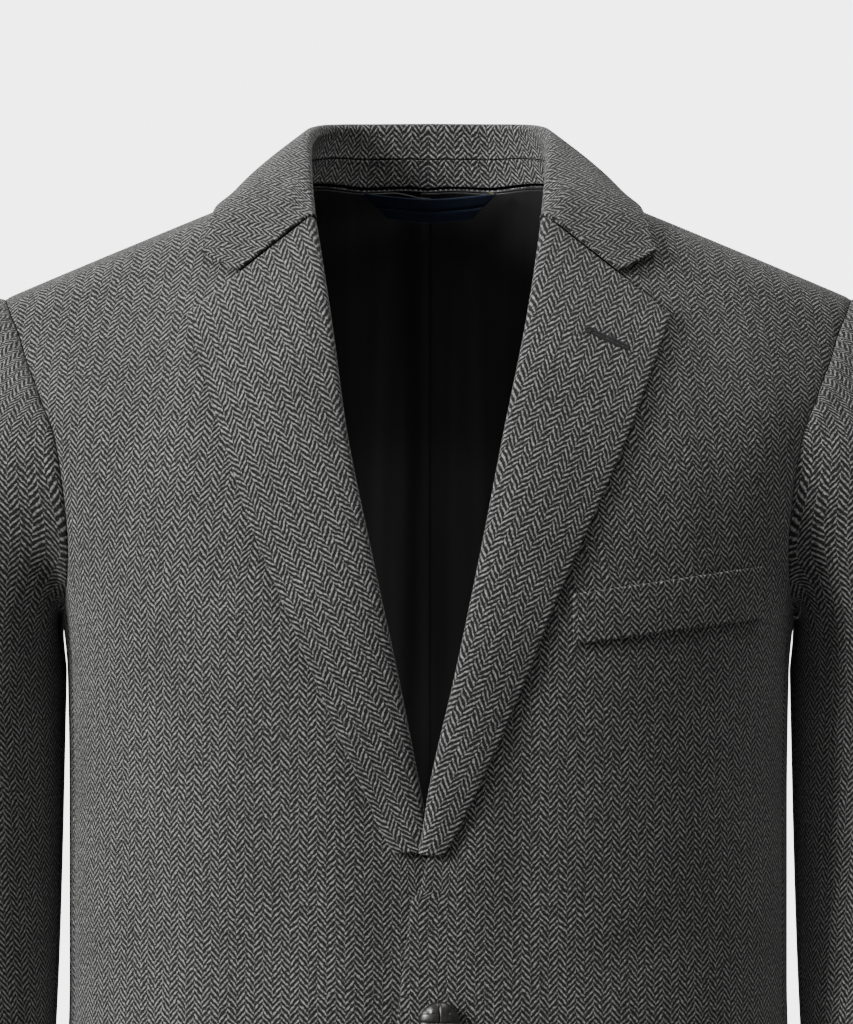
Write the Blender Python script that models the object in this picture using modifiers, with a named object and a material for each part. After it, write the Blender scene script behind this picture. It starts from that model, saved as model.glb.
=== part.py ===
"""Tweed hacking jacket, single-breasted, notched lapels, buttoned and filled out as worn.

Metres, +Z up, +X towards the wearer's left, the chest faces -Y. The origin is the centre of the
neck base, level with the neck ends of the shoulder seams. "left" and "right" are the wearer's.

Each cut piece is the middle surface of its cloth, worked out from the tables below and
given its thickness by Solidify. Whatever lies on a panel is made from the panel's points moved out.
"""
import math

import bmesh
import bpy
import numpy as np
from mathutils import Vector

# Cloth walls and the gaps between them
CLOTH = 0.0018           # tweed with its interlining
TURNED_CLOTH = 0.0024    # lapel and collar: two layers of tweed, pressed
LINING_CLOTH = 0.0010
LABEL_CLOTH = 0.0010
WELT_CLOTH = 0.0016
SEAM_GAP = 0.0003        # between pieces at a seam
ARMHOLE_GAP = 0.0014     # the sleeve is eased in, so the body edge stands back a little more
NECK_GAP = 0.0008        # the same, where the panels turn up into the stand
SLEEVE_GAP = 0.0012      # along the sleeve's two seams
GORGE_GAP = 0.0006       # between the collar and the lapel
CLEARANCE = 0.0009       # between the welt and the front it lies on

# The torso: superellipse rings, which droop to both sides above the chest to make the shoulders
RING_POWER = 2.3
SHOULDER_SLOPE = 0.43
NECK_ROUND = 0.045       # softens the shoulder slope where it crosses the centre line
TOP_LEVEL = 0.023
HEM = -0.745

# Seams, as turns in radians from the centre front to the side, or from the centre back
FRONT_SEAM_TURN = 1.36
BACK_SEAM_TURN = 1.15

# Where the front pieces meet, as distances from the centre line and heights
GORGE = (0.0630, -0.0185)  # top of the roll line, where lapel and collar join
LAPEL_CORNER = (0.1312, -0.0738)
NOTCH_SHARE = 0.59       # the notch lies on the straight from the gorge to the lapel's corner
LEAF_CORNER = (0.1240, -0.0395)
SIDE_NECK = 0.70         # station of the shoulder seam along the neckline

# The lapel and the collar fold round the front and the stand
FOLD_RADIUS = 0.0031
FOLD_RETURN = 0.0060     # how far the fold runs on inside
FRONT_SETBACK = 0.0040   # front panel edge inside the fold
STAND_SPLIT = 0.52       # share of the collar's inner height that the separate stand takes
LAPEL_BELLY = 0.0022
COLLAR_BELLY = 0.0030
COLLAR_LIFT = 0.0042     # middle of the leaf's cloth above the middle of the panels'

# Front overlap
OVERLAP_INNER = 0.022
OVERLAP_OUTER = 0.055

# The back lining
LINING_DEPTH = 0.0023    # middle of the lining below the middle of the back's tweed
LINING_HEM = 0.022       # how far the lining ends above the hem
PLEAT_HEIGHT = 0.0036

BUTTON_PLACE = (0.0059, -0.4534)
BUTTON_DIAMETER = 0.022
BUTTON_HEIGHT = 0.0085
BUTTON_SEAT = 0.0009

ROLL_FOOT = -0.385       # the lowest point of the roll line, where the lapel breaks
# Rows that the panels share, so that their facets meet: heights below the armpit,
# and above it the share of the armhole that is still to climb
LOWER_ROWS = (HEM, -0.735, -0.715, -0.660, -0.580, -0.505, -0.440, ROLL_FOOT, -0.3625, -0.340,
              -0.290)
ROLL_ROWS = (0.90, 0.80, 0.70, 0.60, 0.50, 0.41, 0.33, 0.26)
FRONT_NECK_ROWS = ((0.90, 0.16), (0.80, 0.08), (0.735, 0.035), (SIDE_NECK, 0.0))
FRONT_NECK_GAPS = (0.0040, 0.0020, 0.0010, 0.0008)
BACK_CENTRE_ROWS = (0.84, 0.68, 0.54, 0.42, 0.32)
BACK_NECK_ROWS = ((0.22, 0.22), (0.44, 0.13), (0.60, 0.06), (SIDE_NECK, 0.0))
SIDE_COLUMNS = 6

CUFF_HEIGHT = -0.690
UPPER_ARM_HEIGHT = -0.270


class Table:
    """Rows under named columns, read as smooth curves of the first column that never overshoot."""

    def __init__(self, names, *rows):
        self.names = names.split()
        self.columns = [np.array(column, dtype=float) for column in zip(*rows)]
        self.tangents = [self.find_tangents(column) for column in self.columns]

    def find_tangents(self, values):
        slopes = np.diff(values) / np.diff(self.columns[0])
        tangents = np.concatenate(([slopes[0]], np.zeros(len(slopes) - 1), [slopes[-1]]))
        for i in range(1, len(slopes)):
            before, after = slopes[i - 1], slopes[i]
            if before * after > 0:
                tangents[i] = 2 * before * after / (before + after)
        return tangents

    def __call__(self, name, at):
        keys = self.columns[0]
        values = self.columns[self.names.index(name)]
        tangents = self.tangents[self.names.index(name)]
        at = min(max(at, keys[0]), keys[-1])
        i = min(int(np.searchsorted(keys, at, side="right")) - 1, len(keys) - 2)
        step = keys[i + 1] - keys[i]
        t = (at - keys[i]) / step
        return float(
            values[i] * (1 + 2 * t) * (1 - t) ** 2 + values[i + 1] * t * t * (3 - 2 * t)
            + step * t * (1 - t) * (tangents[i] * (1 - t) - tangents[i + 1] * t))


TORSO = Table(
    "level     half_width front_depth back_depth droop",
    (HEM,      0.2070,    0.1480,     0.1280,    0.00),
    (-0.6400,  0.2070,    0.1460,     0.1300,    0.00),
    (-0.5400,  0.2035,    0.1390,     0.1120,    0.00),
    (-0.4400,  0.1995,    0.1330,     0.0920,    0.00),
    (-0.3400,  0.1995,    0.1390,     0.1040,    0.00),
    (-0.2700,  0.2005,    0.1445,     0.1180,    0.00),
    (-0.2380,  0.2035,    0.1460,     0.1220,    0.01),
    (-0.1950,  0.2128,    0.1440,     0.1250,    0.09),
    (-0.1500,  0.2250,    0.1360,     0.1265,    0.25),
    (-0.1000,  0.2400,    0.1190,     0.1215,    0.50),
    (-0.0600,  0.2520,    0.0985,     0.1130,    0.75),
    (-0.0300,  0.2580,    0.0790,     0.1020,    0.92),
    (-0.0130,  0.2600,    0.0650,     0.0915,    0.97),
    (0.0000,   0.2610,    0.0530,     0.0790,    0.98),
    (0.0100,   0.2620,    0.0420,     0.0650,    0.99),
    (0.0175,   0.2620,    0.0300,     0.0470,    1.00),
    (0.0215,   0.2620,    0.0160,     0.0230,    1.00),
    (TOP_LEVEL, 0.2620,   0.0000,     0.0000,    1.00))

# Round the armhole, 0 at the shoulder point and 1 at the armpit, down its front and its back
ARMHOLE = Table(
    "way   level     front_turn back_turn",
    (0.00, TOP_LEVEL, 1.100,    1.100),
    (0.03, 0.0215,   1.088,     1.090),
    (0.06, 0.0175,   1.075,     1.080),
    (0.10, 0.0090,   1.050,     1.058),
    (0.18, -0.0130,  1.005,     1.020),
    (0.30, -0.0480,  0.975,     0.990),
    (0.44, -0.0950,  0.990,     0.978),
    (0.60, -0.1480,  1.060,     1.008),
    (0.75, -0.1950,  1.165,     1.110),
    (0.86, -0.2220,  1.300,     1.260),
    (0.94, -0.2350,  1.440,     1.420),
    (1.00, -0.2380,  1.571,     1.571))

# Down the sleeve from the upper arm to the cuff
SLEEVE = Table(
    "height            centre_x centre_y half_width half_depth",
    (CUFF_HEIGHT,      0.2640,  -0.0420, 0.0445,    0.0500),
    (-0.5600,          0.2615,  -0.0200, 0.0485,    0.0550),
    (-0.4500,          0.2610,  -0.0040, 0.0530,    0.0610),
    (-0.3600,          0.2620,  0.0040,  0.0565,    0.0665),
    (UPPER_ARM_HEIGHT, 0.2625,  0.0040,  0.0590,    0.0720))

# Front edge and roll line: distance from the centre line towards the piece's own side
FRONT_EDGE = Table(
    "height          left     right",
    (HEM,            0.0620,  0.0620),
    (-0.7350,        0.0360,  0.0360),
    (-0.7150,        0.0170,  0.0170),
    (-0.6800,        0.0000,  0.0000),
    (-0.6200,        -0.0135, -0.0135),
    (-0.5500,        -0.0180, -0.0180),
    (-0.5000,        -0.0180, -0.0180),
    (-0.4600,        -0.0170, -0.0170),
    (-0.4200,        -0.0130, -0.0130),
    (-0.3850,        -0.0085, -0.0085),
    (-0.3500,        -0.0020, 0.0010),
    (-0.3290,        0.0011,  0.0053),
    (-0.2700,        0.0145,  0.0168),
    (-0.2060,        0.0280,  0.0305),
    (-0.1360,        0.0417,  0.0449),
    (-0.0750,        0.0542,  0.0536),
    (-0.0300,        0.0615,  0.0610),
    (GORGE[1],       GORGE[0], GORGE[0]))

LAPEL_EDGE = Table(
    "height            left    right",
    (-0.3817,          -0.0054, -0.0070),
    (-0.3613,          0.0091, 0.0195),
    (-0.3236,          0.0279, 0.0370),
    (-0.2754,          0.0493, 0.0578),
    (-0.2272,          0.0681, 0.0778),
    (-0.1843,          0.0870, 0.0956),
    (-0.1465,          0.1037, 0.1080),
    (-0.1028,          0.1208, 0.1218),
    (LAPEL_CORNER[1],  LAPEL_CORNER[0], LAPEL_CORNER[0]))

# How far the left front stands out and the right front sinks in where they cross
OVERLAP = Table(
    "height  left    right",
    (HEM,    0.0014, -0.0014),
    (-0.440, 0.0015, -0.0015),
    (-0.400, 0.0032, -0.0032),
    (-0.365, 0.0056, -0.0046),
    (-0.335, 0.0056, -0.0046),
    (-0.290, 0.0025, -0.0020),
    (-0.230, 0.0000, 0.0000))

# From the centre back (0) round the neck to the gorge (1): the fold, the neckline, the leaf edge
NECK = Table(
    "station ridge_x ridge_y ridge_z seam_x  seam_y  leaf_x  leaf_y",
    (0.00,   0.0000, 0.0730, 0.0410, 0.0000, 0.0740, 0.0000, 0.0890),
    (0.20,   0.0300, 0.0690, 0.0405, 0.0330, 0.0670, 0.0400, 0.0850),
    (0.40,   0.0520, 0.0530, 0.0390, 0.0580, 0.0460, 0.0790, 0.0680),
    (0.56,   0.0635, 0.0290, 0.0350, 0.0730, 0.0210, 0.1050, 0.0360),
    (0.70,   0.0668, 0.0050, 0.0255, 0.0780, 0.0000, 0.1120, 0.0040),
    (0.86,   0.0657, -0.0220, 0.0075, 0.0735, -0.0240, 0.1170, -0.0240),
    (1.00,   0.0630, -0.0528, -0.0185, 0.0630, -0.0528, 0.1240, -0.0520))

# The bare label: half-widths at its top and its foot
LABEL_TOP = (0.0400, 0.0070)
LABEL_FOOT = (0.0256, -0.0050)
LABEL_CENTRE = 0.0010

# The breast welt's corners: top and foot heights at its inner and outer ends
WELT = Table(
    "across  foot     top",
    (0.0768, -0.2508, -0.2240),
    (0.1800, -0.2380, -0.2093))


def blend(a, b, t):
    return a + (b - a) * t


def smooth_step(low, high, at):
    t = min(max((at - low) / (high - low), 0.0), 1.0)
    return t * t * (3 - 2 * t)


# --- the torso surface --------------------------------------------------------------------------

def shoulder_drop(x):
    return -SHOULDER_SLOPE * (math.hypot(x, NECK_ROUND) - NECK_ROUND)


def body(turn, level):
    """A point of the torso: turn 0 is the centre front, pi/2 the left side, pi the centre back."""
    round_x, round_y = math.sin(turn), math.cos(turn)
    depth = -TORSO("front_depth", level) if round_y > 0 else TORSO("back_depth", level)
    x = math.copysign(abs(round_x) ** (2 / RING_POWER), round_x) * TORSO("half_width", level)
    y = abs(round_y) ** (2 / RING_POWER) * depth
    return Vector((x, y, level + TORSO("droop", level) * shoulder_drop(x)))


def body_normal(turn, level):
    step = 0.0006
    low = min(level, TOP_LEVEL - step)
    around = body(turn + 0.004, low) - body(turn - 0.004, low)
    upward = body(turn, low + step) - body(turn, low - step)
    return around.cross(upward).normalized()


def turn_at(x, level, back=False):
    share = min(abs(x) / TORSO("half_width", level), 1.0)
    turn = math.copysign(math.asin(share ** (RING_POWER / 2)), x)
    return math.pi - turn if back else turn


def level_at(x, z):
    """The ring that passes through height z at the distance x from the centre line."""
    level = z
    for _ in range(30):
        level = min(z - TORSO("droop", level) * shoulder_drop(x), TOP_LEVEL)
    return level


def level_over(x, y):
    """The ring above the point (x, y) of the plan, on the shoulders."""
    low, high = -0.20, TOP_LEVEL
    for _ in range(40):
        middle = (low + high) / 2
        reach = abs(body(turn_at(x, middle, back=y > 0), middle).y)
        low, high = (middle, high) if reach > abs(y) else (low, middle)
    return low


def panel_place(x, z, back=False):
    level = level_at(x, z)
    return turn_at(x, level, back), level


def lifted(place, lift=0.0):
    turn, level = place
    return body(turn, level) + body_normal(turn, level) * lift


def neck_place(station):
    x, y = NECK("seam_x", station), NECK("seam_y", station)
    level = level_over(x, y)
    return turn_at(x, level, back=y > 0), level


def armhole_place(way):
    """Way runs 0 to 1 from the shoulder to the armpit by the front, 0 to -1 by the back."""
    level = ARMHOLE("level", abs(way))
    if way >= 0:
        return ARMHOLE("front_turn", way), level
    return math.pi - ARMHOLE("back_turn", -way), level


def armhole_way(turn_column, turn):
    """Where the lower part of the armhole crosses a side seam."""
    low, high = 0.5, 1.0
    for _ in range(40):
        middle = (low + high) / 2
        low, high = (middle, high) if ARMHOLE(turn_column, middle) < turn else (low, middle)
    return low


def overlap_lift(side, x, z):
    """x is measured towards the piece's own side."""
    return OVERLAP(side, z) * (1 - smooth_step(OVERLAP_INNER, OVERLAP_OUTER, x))


# --- grids of points ----------------------------------------------------------------------------

def slide(line, towards, gap):
    """Moves each point of an edge towards the next line of the grid."""
    return [a + (b - a).normalized() * gap for a, b in zip(line, towards)]


def trim(grid, foot=0.0, top=0.0, inner=0.0, outer=0.0):
    """Draws a grid's edges back: its first and last rows, and both ends of every row."""
    if foot:
        grid[0] = slide(grid[0], grid[1], foot)
    if top:
        grid[-1] = slide(grid[-1], grid[-2], top)
    for row in grid:
        if inner:
            row[0] = row[0] + (row[1] - row[0]).normalized() * inner
        if outer:
            row[-1] = row[-1] + (row[-2] - row[-1]).normalized() * outer
    return grid


def row_between(start, end, count):
    """Places on the torso from one place to another, as (turn, level)."""
    return [(blend(start[0], end[0], i / count), blend(start[1], end[1], i / count))
            for i in range(count + 1)]


def front_grid(side):
    """From the front edge and roll line to the side seam, from the hem to the shoulder seam."""
    columns = 9
    join = armhole_way("front_turn", FRONT_SEAM_TURN)
    join_level = ARMHOLE("level", join)
    heights = [*LOWER_ROWS, join_level]
    rows = [(panel_place(FRONT_EDGE(side, z), z), (FRONT_SEAM_TURN, z)) for z in heights]
    for step, armhole_share in enumerate(ROLL_ROWS, 1):
        z = blend(join_level, GORGE[1], step / len(ROLL_ROWS))
        rows.append((panel_place(FRONT_EDGE(side, z), z), armhole_place(join * armhole_share)))
    for station, armhole_share in FRONT_NECK_ROWS:
        rows.append((neck_place(station), armhole_place(join * armhole_share)))
    grid = []
    for inner, outer in rows:
        line = []
        for place in row_between(inner, outer, columns):
            flat = body(*place)
            line.append(lifted(place, overlap_lift(side, flat.x, flat.z)))
        grid.append(line)
    trim(grid, top=SEAM_GAP)
    roll = range(heights.index(ROLL_FOOT), len(heights) + len(ROLL_ROWS))
    for i, line in enumerate(grid):
        inner_gap = FRONT_SETBACK if i in roll else SEAM_GAP
        if i > roll[-1]:
            inner_gap = FRONT_NECK_GAPS[i - roll[-1] - 1]
        outer_gap = ARMHOLE_GAP if i >= len(heights) - 1 else SEAM_GAP
        trim([line], inner=inner_gap, outer=outer_gap)
    return grid


def back_places(columns):
    """Rows of places from the centre back seam to the side seam, from the hem to the shoulder."""
    join = armhole_way("back_turn", BACK_SEAM_TURN)
    join_level = ARMHOLE("level", join)
    rows = [((math.pi, z), (math.pi - BACK_SEAM_TURN, z)) for z in (*LOWER_ROWS, join_level)]
    first_upper = len(rows) - 1
    neck_level = neck_place(0.0)[1]
    for step, armhole_share in enumerate(BACK_CENTRE_ROWS, 1):
        level = blend(join_level, neck_level, step / len(BACK_CENTRE_ROWS))
        rows.append(((math.pi, level), armhole_place(-join * armhole_share)))
    for station, armhole_share in BACK_NECK_ROWS:
        rows.append((neck_place(station), armhole_place(-join * armhole_share)))
    return [row_between(inner, outer, columns) for inner, outer in rows], first_upper


def back_grid():
    places, first_upper = back_places(8)
    grid = [[lifted(place) for place in row] for row in places]
    trim(grid, top=SEAM_GAP)
    neck_rows = range(len(grid) - len(BACK_NECK_ROWS) - 1, len(grid))
    for i, line in enumerate(grid):
        inner_gap = NECK_GAP if i in neck_rows else 0.8 * SEAM_GAP
        outer_gap = ARMHOLE_GAP if i >= first_upper else SEAM_GAP
        trim([line], inner=inner_gap, outer=outer_gap)
    return grid


def underarm_ways():
    """The armhole's ways from the front seam under the arm to the back seam."""
    front_join = armhole_way("front_turn", FRONT_SEAM_TURN)
    back_join = armhole_way("back_turn", BACK_SEAM_TURN)
    return [blend(front_join, 2 - back_join, i / SIDE_COLUMNS) for i in range(SIDE_COLUMNS + 1)]


def side_grid():
    """From the front seam round under the arm to the back seam, up to the armhole."""
    edge = [armhole_place(way if way <= 1 else way - 2) for way in underarm_ways()]
    grid = [[lifted((turn, z)) for turn, _ in edge] for z in LOWER_ROWS]
    grid.append([lifted(place) for place in edge])
    return trim(grid, top=ARMHOLE_GAP, inner=SEAM_GAP, outer=SEAM_GAP)


def sleeve_point(way, down):
    """Down runs 0 to 1 over the sleeve head, then 1 to 2 from the upper arm to the cuff."""
    angle = way * math.pi
    height = blend(UPPER_ARM_HEIGHT, CUFF_HEIGHT, max(down - 1, 0.0))
    ring = Vector((
        SLEEVE("centre_x", height) + SLEEVE("half_width", height) * math.cos(angle),
        SLEEVE("centre_y", height) - SLEEVE("half_depth", height) * math.sin(angle),
        height))
    if down >= 1:
        return ring
    place = armhole_place(way if way <= 1 else way - 2)
    start = body(*place)
    over, under = max(math.cos(angle), 0.0), max(-math.cos(angle), 0.0)
    leave = Vector((1.0, -0.15 * math.sin(angle), under ** 2 - 0.22 * over)).normalized()
    reach = (ring - start).length
    square, cube = down * down, down ** 3
    return (start * (2 * cube - 3 * square + 1) + ring * (3 * square - 2 * cube)
            + leave * (reach * (cube - 2 * square + down))
            + Vector((0, 0, -1)) * (reach * (cube - square)))


def sleeve_ways():
    """The armhole's ways that the panels' rows end on: the top sleeve's, then the under sleeve's."""
    front_join = armhole_way("front_turn", FRONT_SEAM_TURN)
    back_join = armhole_way("back_turn", BACK_SEAM_TURN)
    front = [front_join * share for share in (*ROLL_ROWS, *[share for _, share in FRONT_NECK_ROWS])]
    back = [-back_join * share for share in (*BACK_CENTRE_ROWS, *[share for _, share in BACK_NECK_ROWS])]
    underarm = underarm_ways()
    top = back[:-1] + front[::-1] + underarm[:2]
    under = underarm[1:] + [2 + back[0]]
    return top, under


def sleeve_grid(ways):
    downs = (0, 0.13, 0.30, 0.50, 0.75, 1, 1.2, 1.45, 1.72, 2)
    grid = [[sleeve_point(way, down) for way in ways] for down in downs]
    return trim(grid, inner=SLEEVE_GAP, outer=SLEEVE_GAP)


def fold_point(side, roll, onward, distance, lift):
    """A point of the fold or the lapel, at a distance from the roll line along the front."""
    spot = roll + onward * distance
    return lifted(panel_place(spot.x, spot.z), overlap_lift(side, spot.x, spot.z) + lift)


FOLD_SECTION = ((FOLD_RETURN, -FOLD_RADIUS), (FOLD_RADIUS, -FOLD_RADIUS), (0.0, 0.0),
                (FOLD_RADIUS, FOLD_RADIUS))


def lapel_grid(side):
    """Across each row: the return inside the fold, round the fold, then out to the lapel's edge."""
    join_level = ARMHOLE("level", armhole_way("front_turn", FRONT_SEAM_TURN))
    heights = [z for z in LOWER_ROWS if z > ROLL_FOOT] + [join_level]
    heights += [blend(join_level, GORGE[1], (i + 1) / len(ROLL_ROWS)) for i in range(len(ROLL_ROWS))]
    grid = []
    for roll_z in heights:
        v = (roll_z - ROLL_FOOT) / (GORGE[1] - ROLL_FOOT)
        edge_z = blend(LAPEL_EDGE.columns[0][0], LAPEL_CORNER[1], v)
        roll = Vector((FRONT_EDGE(side, roll_z), 0, roll_z))
        edge = Vector((LAPEL_EDGE(side, edge_z), 0, edge_z))
        reach = (edge - roll).length
        onward = (edge - roll) / reach
        line = [fold_point(side, roll, onward, *spot) for spot in FOLD_SECTION]
        for share in (0.18, 0.38, 0.60, 0.82, 1.0):
            belly = LAPEL_BELLY * min(reach / 0.05, 1) * math.sin(math.pi * share ** 0.7)
            belly *= 1 - smooth_step(0.8, 1.0, v)
            distance = blend(FOLD_RADIUS, reach, share)
            line.append(fold_point(side, roll, onward, distance, FOLD_RADIUS + belly))
        grid.append(line)
    return trim(grid, top=GORGE_GAP)


# --- the collar ---------------------------------------------------------------------------------

def clear_of_body(point, least):
    """Pushes a point on the shoulders out until it stands the least distance off the torso."""
    level = level_over(point.x, point.y)
    place = (turn_at(point.x, level, back=point.y > 0), level)
    normal = body_normal(*place)
    height = (point.z - body(*place).z) * normal.z
    return point + normal * max(least - height, 0.0)


def neck_frame(station):
    """At a station: the fold's ridge, the neckline, the leaf's edge and the fold's directions."""
    ridge = Vector([NECK(name, station) for name in ("ridge_x", "ridge_y", "ridge_z")])
    seam = lifted(neck_place(station))
    leaf_x, leaf_y = NECK("leaf_x", station), NECK("leaf_y", station)
    leaf_level = level_over(leaf_x, leaf_y)
    leaf_place = (turn_at(leaf_x, leaf_level, back=leaf_y > 0), leaf_level)
    leaf = lifted(leaf_place, COLLAR_LIFT)
    step = 0.01
    ahead, behind = min(station + step, 1.0), station - step
    tangent = Vector([NECK(name, ahead) - math.copysign(1, behind) ** (name == "ridge_x")
                      * NECK(name, abs(behind)) for name in ("ridge_x", "ridge_y", "ridge_z")])
    inward = (leaf - ridge).normalized()
    outward = tangent.cross(inward).normalized()
    return ridge, seam, leaf, inward, outward


def collar_line(station):
    """One line across the collar, from the stand seam inside, over the fold, to the leaf's edge."""
    ridge, seam, leaf, inward, outward = neck_frame(station)
    inside = ridge + inward * FOLD_RADIUS - outward * FOLD_RADIUS
    outside = ridge + inward * FOLD_RADIUS + outward * FOLD_RADIUS
    near_gorge = smooth_step(0.72, 1.0, station)
    foot = blend(blend(inside, seam, 1 - STAND_SPLIT), inside + inward * FOLD_RETURN, near_gorge)
    line = [foot, inside, ridge, outside]
    for share in (0.25, 0.5, 0.72, 1.0):
        point = blend(outside, leaf, share) + outward * COLLAR_BELLY * math.sin(math.pi * share)
        line.append(clear_of_body(point, COLLAR_LIFT))
    return line


def collar_end_line():
    """The last line: along the gorge seam to the notch, then up the leaf's front edge."""
    roll = Vector((GORGE[0], 0, GORGE[1]))
    lapel_corner = Vector((LAPEL_CORNER[0], 0, LAPEL_CORNER[1]))
    reach = (lapel_corner - roll).length
    onward = (lapel_corner - roll) / reach
    line = [fold_point("left", roll, onward, *spot) for spot in FOLD_SECTION]
    for share in (0.36, 0.68, 1.0):
        line.append(fold_point("left", roll, onward, reach * NOTCH_SHARE * share, COLLAR_LIFT))
    line.append(lifted(panel_place(*LEAF_CORNER), COLLAR_LIFT))
    return line


def mirrored_rows(half):
    """A half grid from the centre back outwards, made whole across the centre line."""
    other = [[Vector((-p.x, p.y, p.z)) for p in line] for line in reversed(half[1:])]
    return other + half


def collar_grid():
    stations = [0, 0.09, 0.18, 0.27, 0.36, 0.44, 0.52, 0.60, 0.68, 0.76, 0.84, 0.92]
    half = [collar_line(station) for station in stations] + [collar_end_line()]
    return trim(mirrored_rows(half), foot=GORGE_GAP, top=GORGE_GAP, inner=0.0004)


def stand_grid():
    """The band between the neckline and the collar's inner edge; it runs out before the gorge."""
    half = []
    for station in (0, 0.09, 0.18, 0.27, 0.36, 0.44, 0.52, 0.60, 0.68, 0.76):
        ridge, seam, _, inward, outward = neck_frame(station)
        inside = ridge + inward * FOLD_RADIUS - outward * FOLD_RADIUS
        near_gorge = smooth_step(0.72, 1.0, station)
        top = blend(blend(inside, seam, 1 - STAND_SPLIT), inside + inward * FOLD_RETURN, near_gorge)
        half.append([seam, blend(seam, top, 0.5), top])
    return trim(mirrored_rows(half), inner=0.0010, outer=SEAM_GAP)


# --- what lies inside the back and on the front --------------------------------------------------

def lining_grid(side):
    """The back lining; the right half is raised along the centre as a pleat over the left half."""
    places, _ = back_places(8)
    places = [row for row in places if row[0][1] > HEM + LINING_HEM + 0.01]
    places.insert(0, row_between((math.pi, HEM + LINING_HEM),
                                 (math.pi - BACK_SEAM_TURN, HEM + LINING_HEM), 8))
    past_centre = 0.0045 if side == "left" else 0.0015
    neck_rows = range(len(places) - len(BACK_NECK_ROWS) - 1, len(places))
    grid = []
    for i, row in enumerate(places):
        if i not in neck_rows:
            level = row[0][1]
            row[0] = (math.pi + turn_at(past_centre, level), level)
        line = []
        for place in row:
            x = body(*place).x
            pleat = 0.0 if side == "left" else PLEAT_HEIGHT * (1 - smooth_step(0.002, 0.020, x))
            line.append(lifted(place, -LINING_DEPTH - pleat))
        trim([line], inner=0.0016 if i in neck_rows else 0.0, outer=0.0035)
        grid.append(line)
    return trim(grid, top=0.0012)


def label_grid():
    columns, rows = 10, 2
    grid = []
    for i in range(rows + 1):
        half_width = blend(LABEL_TOP[0], LABEL_FOOT[0], i / rows)
        z = blend(LABEL_TOP[1], LABEL_FOOT[1], i / rows)
        line = []
        for j in range(columns + 1):
            share = 2 * j / columns - 1
            lift = -blend(0.0100, 0.0060, abs(share) ** 1.6) - 0.0019 * i
            turn, level = panel_place(abs(half_width * share) + 1e-6, z, back=True)
            point = lifted((turn, level), lift)
            line.append(Vector((math.copysign(point.x, share) + LABEL_CENTRE, point.y, point.z)))
        grid.append(line)
    return grid


def welt_grid():
    columns, rows = 8, 2
    lift = CLOTH / 2 + CLEARANCE + WELT_CLOTH / 2
    first, last = WELT.columns[0]
    grid = []
    for i in range(rows + 1):
        line = []
        for j in range(columns + 1):
            x = blend(first, last, j / columns)
            z = blend(WELT("foot", x), WELT("top", x), i / rows)
            line.append(lifted(panel_place(x, z), lift))
        grid.append(line)
    return grid


# --- objects -------------------------------------------------------------------------------------

def clear_scene():
    for item in list(bpy.data.objects):
        bpy.data.objects.remove(item, do_unlink=True)


def make_material(name, colour, roughness, metallic=0.0):
    material = bpy.data.materials.new(name)
    material.use_nodes = True
    shader = material.node_tree.nodes["Principled BSDF"]
    shader.inputs["Base Color"].default_value = (*colour, 1.0)
    shader.inputs["Roughness"].default_value = roughness
    shader.inputs["Metallic"].default_value = metallic
    return material


def add_object(collection, name, mesh, material):
    item = bpy.data.objects.new(name, mesh)
    item.data.materials.append(material)
    collection.objects.link(item)
    return item


def cloth_piece(collection, name, grid, thickness, material, side=1):
    """A sheet through the grid's points, given its thickness; side -1 makes the other hand."""
    rows, columns = len(grid), len(grid[0])
    sheet = bmesh.new()
    bmesh.ops.create_grid(sheet, x_segments=columns - 1, y_segments=rows - 1, size=1.0)
    sheet.verts.ensure_lookup_table()
    for i, line in enumerate(grid):
        for j, point in enumerate(line):
            sheet.verts[i * columns + j].co = (point.x * side, point.y, point.z)
    sheet.normal_update()
    mesh = bpy.data.meshes.new(name)
    sheet.to_mesh(mesh)
    sheet.free()
    mesh.shade_smooth()
    item = add_object(collection, name, mesh, material)
    solid = item.modifiers.new("Thickness", "SOLIDIFY")
    solid.thickness = thickness
    solid.offset = 0.0
    solid.use_even_offset = True
    return item


def make_button(collection, material):
    """A domed button, turned from its profile, lying on the left front over its hole."""
    radius = BUTTON_DIAMETER / 2
    rim = 0.0032
    profile = [(0.0, BUTTON_HEIGHT)]
    for i in range(1, 7):
        angle = i * math.pi / 12
        profile.append((radius * math.sin(angle), rim + (BUTTON_HEIGHT - rim) * math.cos(angle)))
    profile += [(radius, 0.0018), (radius * 0.90, 0.0), (0.0, 0.0)]
    mesh = bpy.data.meshes.new("button_front")
    mesh.from_pydata([(x, 0, z) for x, z in profile],
                     [(i, i + 1) for i in range(len(profile) - 1)], [])
    item = add_object(collection, "button_front", mesh, material)
    turned = item.modifiers.new("Turned", "SCREW")
    turned.axis = "Z"
    turned.steps = 20
    turned.render_steps = 20
    turned.use_merge_vertices = True
    turned.merge_threshold = 0.0001
    turned.use_smooth_shade = True
    x, z = BUTTON_PLACE
    place = panel_place(x, z)
    normal = body_normal(*place)
    item.location = lifted(place, overlap_lift("left", x, z) + CLOTH / 2 + BUTTON_SEAT)
    item.rotation_euler = normal.to_track_quat("Z", "Y").to_euler()
    return item


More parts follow.
